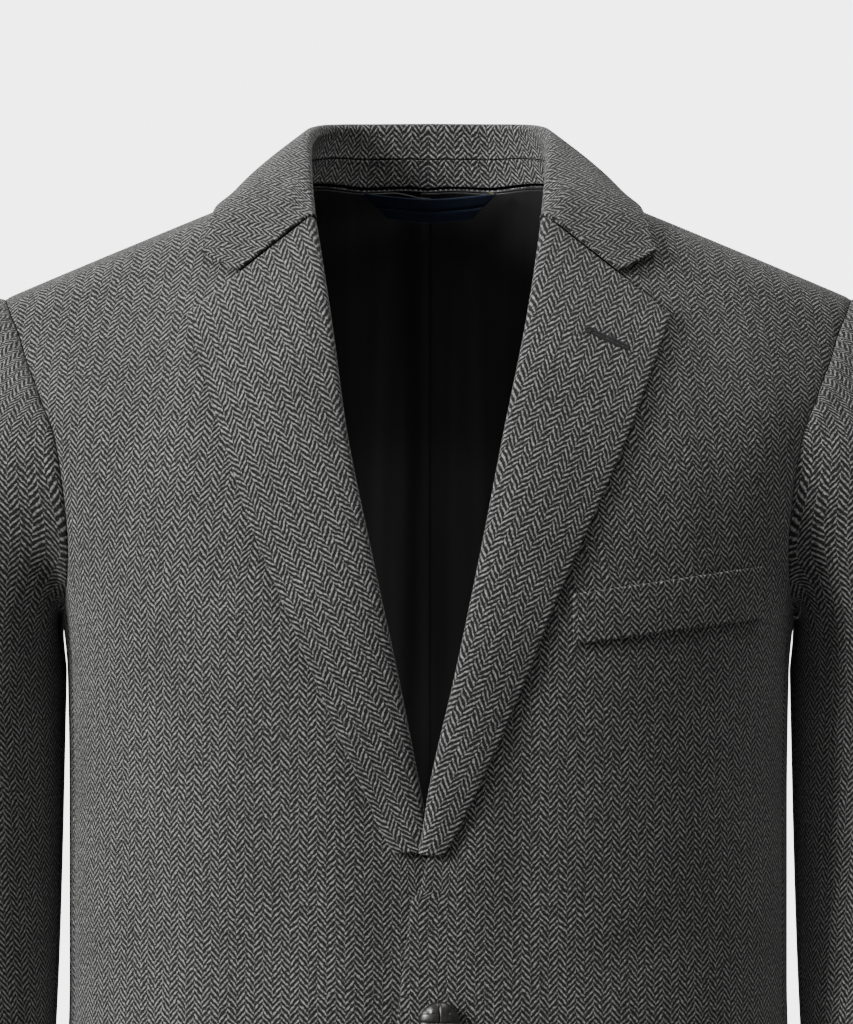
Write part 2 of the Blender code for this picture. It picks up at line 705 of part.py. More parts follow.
def build():
    clear_scene()
    jacket = bpy.data.collections.new("hacking_jacket")
    bpy.context.scene.collection.children.link(jacket)
    top_ways, under_ways = sleeve_ways()
    for side, hand in (("left", 1), ("right", -1)):
        body_pieces = (
            ("front", front_grid(side), CLOTH),
            ("side", side_grid(), CLOTH),
            ("back", back_grid(), CLOTH),
            ("top_sleeve", sleeve_grid(top_ways), CLOTH),
            ("under_sleeve", sleeve_grid(under_ways), CLOTH),
            ("lapel", lapel_grid(side), TURNED_CLOTH))
        for piece, grid, thickness in body_pieces:
            name = f"{piece}_{side}"
            tweed = make_material(f"{name}_tweed", (0.155, 0.155, 0.150), 0.95)
            cloth_piece(jacket, name, grid, thickness, tweed, hand)
        satin = make_material(f"lining_back_{side}_satin", (0.022, 0.021, 0.022), 0.45)
        cloth_piece(jacket, f"lining_back_{side}", lining_grid(side), LINING_CLOTH, satin, hand)
    collar_tweed = make_material("collar_tweed", (0.155, 0.155, 0.150), 0.95)
    cloth_piece(jacket, "collar", collar_grid(), TURNED_CLOTH, collar_tweed)
    stand_tweed = make_material("collar_stand_tweed", (0.155, 0.155, 0.150), 0.95)
    cloth_piece(jacket, "collar_stand", stand_grid(), CLOTH, stand_tweed)
    welt_tweed = make_material("breast_welt_tweed", (0.155, 0.155, 0.150), 0.95)
    cloth_piece(jacket, "breast_welt", welt_grid(), WELT_CLOTH, welt_tweed)
    navy = make_material("label_woven_navy", (0.020, 0.033, 0.065), 0.70)
    cloth_piece(jacket, "label", label_grid(), LABEL_CLOTH, navy)
    leather = make_material("button_front_leather", (0.016, 0.014, 0.013), 0.38)
    make_button(jacket, leather)


build()
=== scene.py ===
"""The looks of a tweed hacking jacket, filled out as worn and open at neck, hem and cuffs.

Metres, +Z up, +X towards the wearer's left, the chest faces -Y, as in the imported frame. Every
cloth piece is a thin shell on the form of its solid, worked out from the same sizes at a finer
spacing, with rounded edges, pressed seams and soft creases. "left" and "right" are the wearer's.
"""
import math

import bmesh
import bpy
import numpy as np
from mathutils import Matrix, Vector


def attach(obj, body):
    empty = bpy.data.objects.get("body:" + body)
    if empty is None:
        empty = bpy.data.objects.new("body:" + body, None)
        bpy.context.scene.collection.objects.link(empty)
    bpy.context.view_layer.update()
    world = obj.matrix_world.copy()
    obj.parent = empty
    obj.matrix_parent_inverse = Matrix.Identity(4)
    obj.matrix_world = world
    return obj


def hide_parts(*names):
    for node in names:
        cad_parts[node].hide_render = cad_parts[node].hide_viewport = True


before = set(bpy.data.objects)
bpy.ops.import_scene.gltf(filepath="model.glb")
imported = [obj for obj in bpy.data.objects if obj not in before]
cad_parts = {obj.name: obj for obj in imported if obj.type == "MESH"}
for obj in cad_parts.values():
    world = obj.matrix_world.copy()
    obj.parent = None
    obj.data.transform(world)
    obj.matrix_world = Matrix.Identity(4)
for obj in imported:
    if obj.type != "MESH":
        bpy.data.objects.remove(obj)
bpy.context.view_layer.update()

# Cloth walls, as the solids have them
CLOTH = 0.0018
TURNED_CLOTH = 0.0024
LINING_CLOTH = 0.0010
LABEL_CLOTH = 0.0010
WELT_CLOTH = 0.0016
CLEARANCE = 0.0009

# Gaps at the seams. The solids stand up to 1.4 mm apart there. The shells' edges all but meet,
# which keeps most daylight out of the sewn seams; round the neck they keep the solids' gaps
SEAM_GAP = 0.00003
NECK_GAP = 0.0008
STAND_GAP = 0.0010
COLLAR_INNER_GAP = 0.0004
ARMHOLE_GAP = 0.00005
SLEEVE_GAP = 0.00003
GORGE_GAP = 0.00005

RING_POWER = 2.3
SHOULDER_SLOPE = 0.43
NECK_ROUND = 0.045
TOP_LEVEL = 0.023
HEM = -0.745
FRONT_SEAM_TURN = 1.36
BACK_SEAM_TURN = 1.15

GORGE = (0.0630, -0.0185)
LAPEL_CORNER = (0.1312, -0.0738)
NOTCH_SHARE = 0.59
LEAF_CORNER = (0.1240, -0.0395)
SIDE_NECK = 0.70
ROLL_FOOT = -0.385
LAPEL_FIRST_ROW = -0.3625
LAPEL_START = (LAPEL_FIRST_ROW - ROLL_FOOT) / (GORGE[1] - ROLL_FOOT)

FOLD_RADIUS = 0.0031
FOLD_RETURN = 0.0060
FRONT_SETBACK = 0.0040
STAND_SPLIT = 0.52
LAPEL_BELLY = 0.0022
COLLAR_BELLY = 0.0030
COLLAR_LIFT = 0.0042
OVERLAP_INNER = 0.022
OVERLAP_OUTER = 0.055
UNDER_FRONT_SINK = 0.0035   # the right front falls back beside the left front's edge
LEAF_HUG = 0.0015           # the leaf's edge lies closer to the shoulder than its middle
LINING_DEPTH = 0.0023
LINING_HEM = 0.022
PLEAT_HEIGHT = 0.0036
LINING_NECK_GAP = 0.0016
LINING_SIDE_GAP = 0.0035
LINING_SHOULDER_GAP = 0.0012

CHEST_LEAN = 0.20        # the iron draws the grain of the upper front in towards the neck
CHEST_LEAN_FOOT = -0.22

CUFF_HEIGHT = -0.690
SLEEVE_BACK_SHARE = 0.84     # of the way up the back armhole, where the sleeve's back seam starts
SLEEVE_FRONT_SHARE = 1 / 6   # of the way under the arm, where its front seam starts
UPPER_ARM_HEIGHT = -0.270

# How the shells are spaced and finished
EDGE_STEPS = (0.0, 0.0003, 0.0008, 0.0016, 0.0028, 0.0046, 0.0072)
SEAM_DITCH = 0.0007
SEAM_REACH = 0.0022

BUTTON_PLACE = (0.0059, -0.4534)
BUTTON_DIAMETER = 0.022
BUTTON_HEIGHT = 0.0085
BUTTON_SEAT = 0.0009
BUTTONHOLE_EYE = (0.0868, -0.0815)
BUTTONHOLE_END = (0.1083, -0.0912)


class Table:
    """Rows under named columns, read as smooth curves of the first column that never overshoot."""

    def __init__(self, names, *rows):
        self.names = names.split()
        self.columns = np.array(rows, dtype=float).T
        self.tangents = [self.find_tangents(column) for column in self.columns]

    def find_tangents(self, values):
        slopes = np.diff(values) / np.diff(self.columns[0])
        before, after = slopes[:-1], slopes[1:]
        agree = before * after > 0
        total = np.where(agree, before + after, 1.0)
        middle = np.where(agree, 2 * before * after / total, 0.0)
        return np.concatenate(([slopes[0]], middle, [slopes[-1]]))

    def __call__(self, name, at):
        keys = self.columns[0]
        pick = self.names.index(name)
        values, tangents = self.columns[pick], self.tangents[pick]
        at = np.clip(at, keys[0], keys[-1])
        i = np.clip(np.searchsorted(keys, at, side="right") - 1, 0, len(keys) - 2)
        step = keys[i + 1] - keys[i]
        t = (at - keys[i]) / step
        bend = step * t * (1 - t) * (tangents[i] * (1 - t) - tangents[i + 1] * t)
        return values[i] * (1 + 2 * t) * (1 - t) ** 2 + values[i + 1] * t * t * (3 - 2 * t) + bend


TORSO = Table(
    "level     half_width front_depth back_depth droop",
    (HEM,      0.2070,    0.1480,     0.1280,    0.00),
    (-0.6400,  0.2070,    0.1460,     0.1300,    0.00),
    (-0.5400,  0.2035,    0.1390,     0.1120,    0.00),
    (-0.4400,  0.1995,    0.1330,     0.0920,    0.00),
    (-0.3400,  0.1995,    0.1390,     0.1040,    0.00),
    (-0.2700,  0.2005,    0.1445,     0.1180,    0.00),
    (-0.2380,  0.2035,    0.1460,     0.1220,    0.01),
    (-0.1950,  0.2128,    0.1440,     0.1250,    0.09),
    (-0.1500,  0.2250,    0.1360,     0.1265,    0.25),
    (-0.1000,  0.2400,    0.1190,     0.1215,    0.50),
    (-0.0600,  0.2520,    0.0985,     0.1130,    0.75),
    (-0.0300,  0.2580,    0.0790,     0.1020,    0.92),
    (-0.0130,  0.2600,    0.0650,     0.0915,    0.97),
    (0.0000,   0.2610,    0.0530,     0.0790,    0.98),
    (0.0100,   0.2620,    0.0420,     0.0650,    0.99),
    (0.0175,   0.2620,    0.0300,     0.0470,    1.00),
    (0.0215,   0.2620,    0.0160,     0.0230,    1.00),
    (TOP_LEVEL, 0.2620,   0.0000,     0.0000,    1.00))

ARMHOLE = Table(
    "way   level     front_turn back_turn",
    (0.00, TOP_LEVEL, 1.100,    1.100),
    (0.03, 0.0215,   1.088,     1.090),
    (0.06, 0.0175,   1.075,     1.080),
    (0.10, 0.0090,   1.050,     1.058),
    (0.18, -0.0130,  1.005,     1.020),
    (0.30, -0.0480,  0.975,     0.990),
    (0.44, -0.0950,  0.990,     0.978),
    (0.60, -0.1480,  1.060,     1.008),
    (0.75, -0.1950,  1.165,     1.110),
    (0.86, -0.2220,  1.300,     1.260),
    (0.94, -0.2350,  1.440,     1.420),
    (1.00, -0.2380,  1.571,     1.571))

SLEEVE = Table(
    "height            centre_x centre_y half_width half_depth",
    (CUFF_HEIGHT,      0.2640,  -0.0420, 0.0445,    0.0500),
    (-0.5600,          0.2615,  -0.0200, 0.0485,    0.0550),
    (-0.4500,          0.2610,  -0.0040, 0.0530,    0.0610),
    (-0.3600,          0.2620,  0.0040,  0.0565,    0.0665),
    (UPPER_ARM_HEIGHT, 0.2625,  0.0040,  0.0590,    0.0720))

FRONT_EDGE = Table(
    "height          left     right",
    (HEM,            0.0620,  0.0620),
    (-0.7350,        0.0360,  0.0360),
    (-0.7150,        0.0170,  0.0170),
    (-0.6800,        0.0000,  0.0000),
    (-0.6200,        -0.0135, -0.0135),
    (-0.5500,        -0.0180, -0.0180),
    (-0.5000,        -0.0180, -0.0180),
    (-0.4600,        -0.0170, -0.0170),
    (-0.4200,        -0.0130, -0.0130),
    (-0.3850,        -0.0085, -0.0085),
    (-0.3500,        -0.0020, 0.0010),
    (-0.3290,        0.0011,  0.0053),
    (-0.2700,        0.0145,  0.0168),
    (-0.2060,        0.0280,  0.0305),
    (-0.1360,        0.0417,  0.0449),
    (-0.0750,        0.0542,  0.0536),
    (-0.0300,        0.0615,  0.0610),
    (GORGE[1],       GORGE[0], GORGE[0]))

LAPEL_EDGE = Table(
    "height            left    right",
    (-0.3817,          -0.0054, -0.0070),
    (-0.3613,          0.0091, 0.0195),
    (-0.3236,          0.0279, 0.0370),
    (-0.2754,          0.0493, 0.0578),
    (-0.2272,          0.0681, 0.0778),
    (-0.1843,          0.0870, 0.0956),
    (-0.1465,          0.1037, 0.1080),
    (-0.1028,          0.1208, 0.1218),
    (LAPEL_CORNER[1],  LAPEL_CORNER[0], LAPEL_CORNER[0]))

OVERLAP = Table(
    "height  left    right",
    (HEM,    0.0014, -0.0014),
    (-0.440, 0.0015, -0.0015),
    (-0.400, 0.0032, -0.0032),
    (-0.365, 0.0056, -0.0046),
    (-0.335, 0.0056, -0.0046),
    (-0.290, 0.0025, -0.0020),
    (-0.230, 0.0000, 0.0000))

NECK = Table(
    "station ridge_x ridge_y ridge_z seam_x  seam_y  leaf_x  leaf_y",
    (0.00,   0.0000, 0.0730, 0.0410, 0.0000, 0.0740, 0.0000, 0.0890),
    (0.20,   0.0300, 0.0690, 0.0405, 0.0330, 0.0670, 0.0400, 0.0850),
    (0.40,   0.0520, 0.0530, 0.0390, 0.0580, 0.0460, 0.0790, 0.0680),
    (0.56,   0.0635, 0.0290, 0.0350, 0.0730, 0.0210, 0.1050, 0.0360),
    (0.70,   0.0668, 0.0050, 0.0255, 0.0780, 0.0000, 0.1120, 0.0040),
    (0.86,   0.0657, -0.0220, 0.0075, 0.0735, -0.0240, 0.1170, -0.0240),
    (1.00,   0.0630, -0.0528, -0.0185, 0.0630, -0.0528, 0.1240, -0.0520))

# The share of the armhole still to climb: beside the roll line, then beside the neckline
ROLL_CLIMB = Table(
    "step   share",
    (0.000, 1.00), (0.125, 0.90), (0.250, 0.80), (0.375, 0.70), (0.500, 0.60),
    (0.625, 0.50), (0.750, 0.41), (0.875, 0.33), (1.000, 0.26))
FRONT_NECK_CLIMB = Table(
    "past_gorge share", (0.0, 0.26), (0.100, 0.16), (0.200, 0.08), (0.265, 0.035), (0.300, 0.0))
BACK_CLIMB = Table(
    "step share", (0.0, 1.0), (0.2, 0.84), (0.4, 0.68), (0.6, 0.54), (0.8, 0.42), (1.0, 0.32))
BACK_NECK_CLIMB = Table(
    "station share", (0.00, 0.32), (0.22, 0.22), (0.44, 0.13), (0.60, 0.06), (SIDE_NECK, 0.0))

WELT = Table("across foot top", (0.0768, -0.2508, -0.2240), (0.1800, -0.2380, -0.2093))
LABEL_TOP = (0.0400, 0.0070)
LABEL_FOOT = (0.0256, -0.0050)
LABEL_CENTRE = 0.0010
LABEL_LENGTH = 0.0220

# Soft creases: a trough from one place to another; negative depths are ridges
CREASES = {
    "front": ((0.150, -0.060, 0.165, -0.210, 0.020, 0.0022),
              (0.118, -0.110, 0.140, -0.330, 0.026, 0.0012),
              (0.172, -0.300, 0.150, -0.420, 0.018, 0.0014),
              (0.060, -0.440, 0.150, -0.400, 0.016, 0.0011),
              (0.045, -0.480, 0.120, -0.520, 0.015, 0.0009),
              (0.095, -0.560, 0.110, -0.740, 0.030, -0.0016)),
    "back": ((0.130, -0.060, 0.155, -0.230, 0.022, 0.0022),
             (0.060, -0.030, 0.110, -0.050, 0.014, 0.0010),
             (0.030, -0.400, 0.150, -0.430, 0.018, 0.0014),
             (0.060, -0.470, 0.160, -0.450, 0.016, 0.0010),
             (0.070, -0.580, 0.075, -0.740, 0.028, -0.0018)),
    "sleeve": ((0.20, -0.300, 0.62, -0.345, 0.016, 0.0022),
               (0.30, -0.410, 0.75, -0.440, 0.015, 0.0024),
               (0.26, -0.455, 0.70, -0.480, 0.013, 0.0018),
               (0.35, -0.520, 0.66, -0.540, 0.014, 0.0014),
               (-0.30, -0.330, -0.55, -0.380, 0.018, 0.0016),
               (0.05, -0.560, 0.30, -0.640, 0.020, 0.0012)),
    "lining": ((0.020, -0.050, 0.028, -0.420, 0.0065, 0.0016),
               (0.044, -0.060, 0.036, -0.330, 0.0080, -0.0022),
               (0.062, -0.090, 0.058, -0.400, 0.0090, 0.0016),
               (0.010, -0.180, 0.014, -0.620, 0.0050, -0.0012))}


def blend(a, b, t):
    return a + (b - a) * t


def smooth_step(low, high, at):
    t = np.clip((at - low) / (high - low), 0.0, 1.0)
    return t * t * (3 - 2 * t)


def unit(vectors):
    return vectors / np.maximum(np.linalg.norm(vectors, axis=-1, keepdims=True), 1e-12)


# --- the torso surface --------------------------------------------------------------------------

def shoulder_drop(x):
    return -SHOULDER_SLOPE * (np.hypot(x, NECK_ROUND) - NECK_ROUND)


def body(turn, level):
    """Points of the torso: turn 0 is the centre front, pi/2 the left side, pi the centre back."""
    round_x, round_y = np.sin(turn), np.cos(turn)
    depth = np.where(round_y > 0, -TORSO("front_depth", level), TORSO("back_depth", level))
    x = np.copysign(np.abs(round_x) ** (2 / RING_POWER), round_x) * TORSO("half_width", level)
    y = np.abs(round_y) ** (2 / RING_POWER) * depth
    return np.stack((x, y, level + TORSO("droop", level) * shoulder_drop(x)), axis=-1)


def body_normal(turn, level):
    step = 0.0006
    low = np.minimum(level, TOP_LEVEL - step)
    around = body(turn + 0.004, low) - body(turn - 0.004, low)
    upward = body(turn, low + step) - body(turn, low - step)
    return unit(np.cross(around, upward))


def turn_at(x, level, back=False):
    share = np.minimum(np.abs(x) / TORSO("half_width", level), 1.0)
    turn = np.copysign(np.arcsin(share ** (RING_POWER / 2)), x)
    return np.where(back, math.pi - turn, turn)


def level_at(x, z):
    """The ring that passes through height z at the distance x from the centre line."""
    level = np.asarray(z, dtype=float)
    for _ in range(30):
        level = np.minimum(z - TORSO("droop", level) * shoulder_drop(x), TOP_LEVEL)
    return level


def level_over(x, y):
    """The ring above the point (x, y) of the plan, on the shoulders."""
    low, high = np.full(np.shape(x), -0.20), np.full(np.shape(x), TOP_LEVEL)
    for _ in range(34):
        middle = (low + high) / 2
        reach = np.abs(body(turn_at(x, middle, back=y > 0), middle)[..., 1])
        inside = reach > np.abs(y)
        low, high = np.where(inside, middle, low), np.where(inside, high, middle)
    return low


def panel_place(x, z, back=False):
    level = level_at(x, z)
    return np.stack((turn_at(x, level, back), level), axis=-1)


def lifted(places, lift=0.0):
    turn, level = places[..., 0], places[..., 1]
    lift = np.broadcast_to(np.asarray(lift, dtype=float), turn.shape)
    return body(turn, level) + body_normal(turn, level) * lift[..., None]


def neck_place(station):
    x, y = NECK("seam_x", station), NECK("seam_y", station)
    level = level_over(x, y)
    return np.stack((turn_at(x, level, back=y > 0), level), axis=-1)


def armhole_place(way):
    """Way runs 0 to 1 from the shoulder to the armpit by the front, 0 to -1 by the back."""
    way = np.asarray(way, dtype=float)
    level = ARMHOLE("level", np.abs(way))
    front, back = ARMHOLE("front_turn", way), math.pi - ARMHOLE("back_turn", -way)
    return np.stack((np.where(way >= 0, front, back), level), axis=-1)


def armhole_way(turn_column, turn):
    """Where the lower part of the armhole crosses a side seam."""
    low, high = 0.5, 1.0
    for _ in range(40):
        middle = (low + high) / 2
        low, high = (middle, high) if ARMHOLE(turn_column, middle) < turn else (low, middle)
    return low


def overlap_lift(side, x, z):
    """x is measured towards the piece's own side."""
    return OVERLAP(side, z) * (1 - smooth_step(OVERLAP_INNER, OVERLAP_OUTER, x))


FRONT_JOIN = armhole_way("front_turn", FRONT_SEAM_TURN)
BACK_JOIN = armhole_way("back_turn", BACK_SEAM_TURN)
SLEEVE_BACK = -BACK_JOIN * SLEEVE_BACK_SHARE
SLEEVE_FRONT = blend(FRONT_JOIN, 2 - BACK_JOIN, SLEEVE_FRONT_SHARE)


# --- the cut: where each point lay on the flat cloth, in metres ---------------------------

LEVELS = np.linspace(HEM, TOP_LEVEL - 0.0002, 160)
TURNS = np.linspace(0.0, math.pi, 121)


def plan_arcs():
    """How far round each ring is, seen in plan, from the centre front to each turn."""
    rings = body(TURNS[None, :], LEVELS[:, None])[..., :2]
    steps = np.linalg.norm(np.diff(rings, axis=1), axis=-1)
    return np.concatenate((np.zeros((len(LEVELS), 1)), np.cumsum(steps, axis=1)), axis=1)


def rise_arcs(depth):
    """How far up the centre line each level is, along the cloth."""
    steps = np.hypot(np.diff(LEVELS), np.diff(TORSO(depth, LEVELS)))
    return np.concatenate(([0.0], np.cumsum(steps))) + HEM


PLAN = plan_arcs()
RISE = {False: rise_arcs("front_depth"), True: rise_arcs("back_depth")}


def cut_on_body(places, points, back=False):
    """Across from the centre line, and up, with the grain of the cloth plumb as in a cut panel."""
    turn, level = places[..., 0], places[..., 1]
    if back:
        turn = np.where(turn < math.pi / 2, math.pi - turn, turn)
    row = np.clip((level - HEM) / (LEVELS[1] - LEVELS[0]), 0, len(LEVELS) - 1.001)
    column = np.clip(np.abs(turn) / TURNS[1], 0, len(TURNS) - 1.001)
    i, j = row.astype(int), column.astype(int)
    s, t = row - i, column - j
    low = blend(PLAN[i, j], PLAN[i, j + 1], t)
    high = blend(PLAN[i + 1, j], PLAN[i + 1, j + 1], t)
    across = np.copysign(blend(low, high, s), turn)
    if back:
        whole = blend(PLAN[i, -1], PLAN[i + 1, -1], s)
        across = whole - across
    up = points[..., 2] + np.interp(level, LEVELS, RISE[back]) - level
    if not back:
        across = across + CHEST_LEAN * np.maximum(points[..., 2] - CHEST_LEAN_FOOT, 0.0)
    return np.stack((across, up), axis=-1)


# --- grids of points ----------------------------------------------------------------------------

def spread(count, length):
    """Shares from 0 to 1, close together at both ends, where the cloth's edges are."""
    ends = np.array(EDGE_STEPS) / length
    middle = np.linspace(ends[-1], 1 - ends[-1], count)
    return np.concatenate((ends[:-1], middle, 1 - ends[:-1][::-1]))


def slide_edge(grid, gap, row=None, column=None):
    """Draws one edge of a grid back towards the rows or columns beside it."""
    lines = grid if row is not None else np.swapaxes(grid, 0, 1)
    pick = row if row is not None else column
    inwards = 8 if pick == 0 else -9
    way = unit(lines[inwards] - lines[pick])
    if pick == 0:
        reach = np.linalg.norm(lines[:8] - lines[0], axis=-1)
        share = 1 - reach / np.maximum(reach[-1], 1e-9)
        lines[:8] += way[None] * gap * share[..., None]
    else:
        reach = np.linalg.norm(lines[-8:] - lines[-1], axis=-1)
        share = 1 - reach / np.maximum(reach[0], 1e-9)
        lines[-8:] += way[None] * gap * share[..., None]


def trough(name, across, along):
    """The summed depth of the piece's creases at places given in the creases' own sizes."""
    depth = np.zeros(np.shape(across))
    for x0, z0, x1, z1, width, deep in CREASES[name]:
        run_x, run_z = x1 - x0, z1 - z0
        on_run = (across - x0) * run_x + (along - z0) * run_z
        t = np.clip(on_run / (run_x ** 2 + run_z ** 2), 0, 1)
        away = np.hypot(across - x0 - t * run_x, along - z0 - t * run_z)
        depth += deep * np.exp(-(away / width) ** 2) * (0.35 + 0.65 * np.sin(math.pi * t))
    return depth


def front_places(side, columns=56, lower=124, roll=52, neck=16):
    """From the front edge and roll line to the side seam, from the hem to the shoulder seam."""
    join_level = float(ARMHOLE("level", FRONT_JOIN))
    z = blend(HEM, join_level, spread(lower, join_level - HEM)[:-len(EDGE_STEPS) + 1])
    z = z[z < join_level - 0.002]
    inner = [panel_place(FRONT_EDGE(side, z), z)]
    outer = [np.stack((np.full_like(z, FRONT_SEAM_TURN), z), axis=-1)]
    step = np.linspace(0, 1, roll)
    z = blend(join_level, GORGE[1], step)
    inner.append(panel_place(FRONT_EDGE(side, z), z))
    outer.append(armhole_place(FRONT_JOIN * ROLL_CLIMB("share", step)))
    past = 0.30 * spread(neck, 0.06)[len(EDGE_STEPS) - 1:]
    inner.append(neck_place(1 - past))
    outer.append(armhole_place(FRONT_JOIN * FRONT_NECK_CLIMB("share", past)))
    inner, outer = np.concatenate(inner), np.concatenate(outer)
    share = spread(columns, 0.19)[None, :, None]
    return blend(inner[:, None], outer[:, None], share), lower


def front_grid(side):
    places, _ = front_places(side)
    flat = body(places[..., 0], places[..., 1])
    lift = overlap_lift(side, flat[..., 0], flat[..., 2])
    lift = lift - trough("front", flat[..., 0], flat[..., 2])
    if side == "right":
        x, z = flat[..., 0], flat[..., 2]
        over_edge = -FRONT_EDGE("left", z)
        below_break = smooth_step(-0.355, -0.400, z) * smooth_step(-0.735, -0.680, z)
        sunk_share = smooth_step(over_edge + 0.030, over_edge - 0.001, x)
        lift = lift - UNDER_FRONT_SINK * sunk_share * below_break
    grid = lifted(places, lift)
    cut = cut_on_body(places, flat)
    inner = places[:, 0, 1]
    setback = np.where((flat[:, 0, 2] > ROLL_FOOT), FRONT_SETBACK, SEAM_GAP)
    ease = smooth_step(1.0, 0.70, np.interp(np.arange(len(inner)), [len(inner) - 16, len(inner)],
                                            [1.0, 0.7]))
    slide_edge(grid, (setback * (1 - 0.8 * ease))[:, None], column=0)
    slide_edge(grid, armhole_gaps(places, FRONT_JOIN), column=-1)
    slide_edge(grid, SEAM_GAP, row=-1)
    return grid, cut


def armhole_gaps(places, join):
    above = places[:, -1, 1] > float(ARMHOLE("level", join)) - 1e-6
    return np.where(above, ARMHOLE_GAP, SEAM_GAP)[:, None]


def back_places(columns=52, lower=124, upper=50, neck=30):
    """From the centre back seam to the side seam, from the hem to the shoulder seam."""
    join_level = float(ARMHOLE("level", BACK_JOIN))
    z = blend(HEM, join_level, spread(lower, join_level - HEM)[:-len(EDGE_STEPS) + 1])
    z = z[z < join_level - 0.002]
    inner = [np.stack((np.full_like(z, math.pi), z), axis=-1)]
    outer = [np.stack((np.full_like(z, math.pi - BACK_SEAM_TURN), z), axis=-1)]
    step = np.linspace(0, 1, upper)
    level = blend(join_level, float(neck_place(np.array(0.0))[1]), step)
    inner.append(np.stack((np.full_like(level, math.pi), level), axis=-1))
    outer.append(armhole_place(-BACK_JOIN * BACK_CLIMB("share", step)))
    station = SIDE_NECK * spread(neck, 0.09)[3:]
    inner.append(neck_place(station))
    outer.append(armhole_place(-BACK_JOIN * BACK_NECK_CLIMB("share", station)))
    inner, outer = np.concatenate(inner), np.concatenate(outer)
    share = spread(columns, 0.19)[None, :, None]
    return blend(inner[:, None], outer[:, None], share)


def back_grid():
    places = back_places()
    flat = body(places[..., 0], places[..., 1])
    grid = lifted(places, -trough("back", flat[..., 0], flat[..., 2]))
    beside_neck = flat[:, 0, 0] > 1e-4
    slide_edge(grid, np.where(beside_neck, NECK_GAP, 0.8 * SEAM_GAP)[:, None], column=0)
    slide_edge(grid, armhole_gaps(places, BACK_JOIN), column=-1)
    slide_edge(grid, SEAM_GAP, row=-1)
    return grid, cut_on_body(places, flat, back=True)


def side_grid(columns=24, rows=126):
    """From the front seam round under the arm to the back seam, up to the armhole."""
    way = blend(FRONT_JOIN, 2 - BACK_JOIN, spread(columns, 0.12))
    edge = armhole_place(np.where(way <= 1, way, way - 2))
    climb = spread(rows, 0.51)[:, None]
    z = blend(HEM, edge[None, :, 1], climb)
    places = np.stack((np.broadcast_to(edge[None, :, 0], z.shape), z), axis=-1)
    grid = lifted(places)
    slide_edge(grid, ARMHOLE_GAP, row=-1)
    slide_edge(grid, SEAM_GAP, column=0)
    slide_edge(grid, SEAM_GAP, column=-1)
    return grid, cut_on_body(places, body(places[..., 0], places[..., 1]))


def sleeve_point(way, down):
    """Down runs 0 to 1 over the sleeve head, then 1 to 2 from the upper arm to the cuff."""
    angle = way * math.pi
    height = blend(UPPER_ARM_HEIGHT, CUFF_HEIGHT, np.maximum(down - 1, 0.0))
    ring = np.stack((
        SLEEVE("centre_x", height) + SLEEVE("half_width", height) * np.cos(angle),
        SLEEVE("centre_y", height) - SLEEVE("half_depth", height) * np.sin(angle),
        height), axis=-1)
    places = armhole_place(np.where(way <= 1, way, way - 2))
    start = body(places[..., 0], places[..., 1])
    over, under = np.maximum(np.cos(angle), 0.0), np.maximum(-np.cos(angle), 0.0)
    leave = unit(np.stack((np.ones_like(angle), -0.15 * np.sin(angle),
                           under ** 2 - 0.22 * over), axis=-1))
    reach = np.linalg.norm(ring - start, axis=-1)[..., None]
    t = np.minimum(down, 1.0)[..., None]
    square, cube = t * t, t ** 3
    head = (start * (2 * cube - 3 * square + 1) + ring * (3 * square - 2 * cube)
            + leave * (reach * (cube - 2 * square + t))
            + np.array((0, 0, -1.0)) * (reach * (cube - square)))
    return np.where(down[..., None] >= 1, ring, head)


def sleeve_cut(grid, turn, down):
    """Unrolled about the arm: steps round it go across, steps along and away from it go up."""
    angle = turn * math.pi
    step = np.diff(grid, axis=0)
    middle = (angle[1:] + angle[:-1]) / 2
    round_arm = np.stack((-np.sin(middle), -np.cos(middle), np.zeros_like(middle)), axis=-1)
    sideways = np.sum(step * round_arm, axis=-1)
    onward = np.sqrt(np.maximum(np.sum(step * step, axis=-1) - sideways ** 2, 0.0))
    start = np.zeros((1, grid.shape[1]))
    sideways = np.concatenate((start, np.cumsum(sideways, axis=0)))
    onward = np.concatenate((start, np.cumsum(onward, axis=0)))
    arm = np.searchsorted(down[:, 0], 1.0)
    girth = math.pi * (SLEEVE("half_width", grid[..., 2]) + SLEEVE("half_depth", grid[..., 2])) / 2
    on_arm = turn * girth
    over_head = on_arm[arm] + sideways - sideways[arm]
    across = np.where(down < 1, over_head, on_arm)
    return np.stack((across, UPPER_ARM_HEIGHT - (onward - onward[arm])), axis=-1)


def sleeve_grid(first, last, columns, length, rows=60):
    """Part of the sleeve, between two ways round the armhole."""
    way = blend(first, last, spread(columns, length))
    head = spread(rows, 0.20)[:-len(EDGE_STEPS) + 1]
    arm = 1 + spread(2 * rows, 0.42)[len(EDGE_STEPS) - 1:]
    down = np.concatenate((head[head < 0.985], arm))
    way, down = np.meshgrid(way, down)
    grid = sleeve_point(way, down)
    height = grid[..., 2]
    cut = sleeve_cut(grid, way, down)
    rope = 0.0016 * np.exp(-((down * 0.20 - 0.006) / 0.006) ** 2)
    rope = rope * smooth_step(0.75, 0.3, np.abs(way))
    normal = grid_normals(grid)
    lift = rope - trough("sleeve", way, height) * smooth_step(0.9, 1.1, down)
    grid = grid + normal * lift[..., None]
    slide_edge(grid, SLEEVE_GAP, column=0)
    slide_edge(grid, SLEEVE_GAP, column=-1)
    return grid, cut


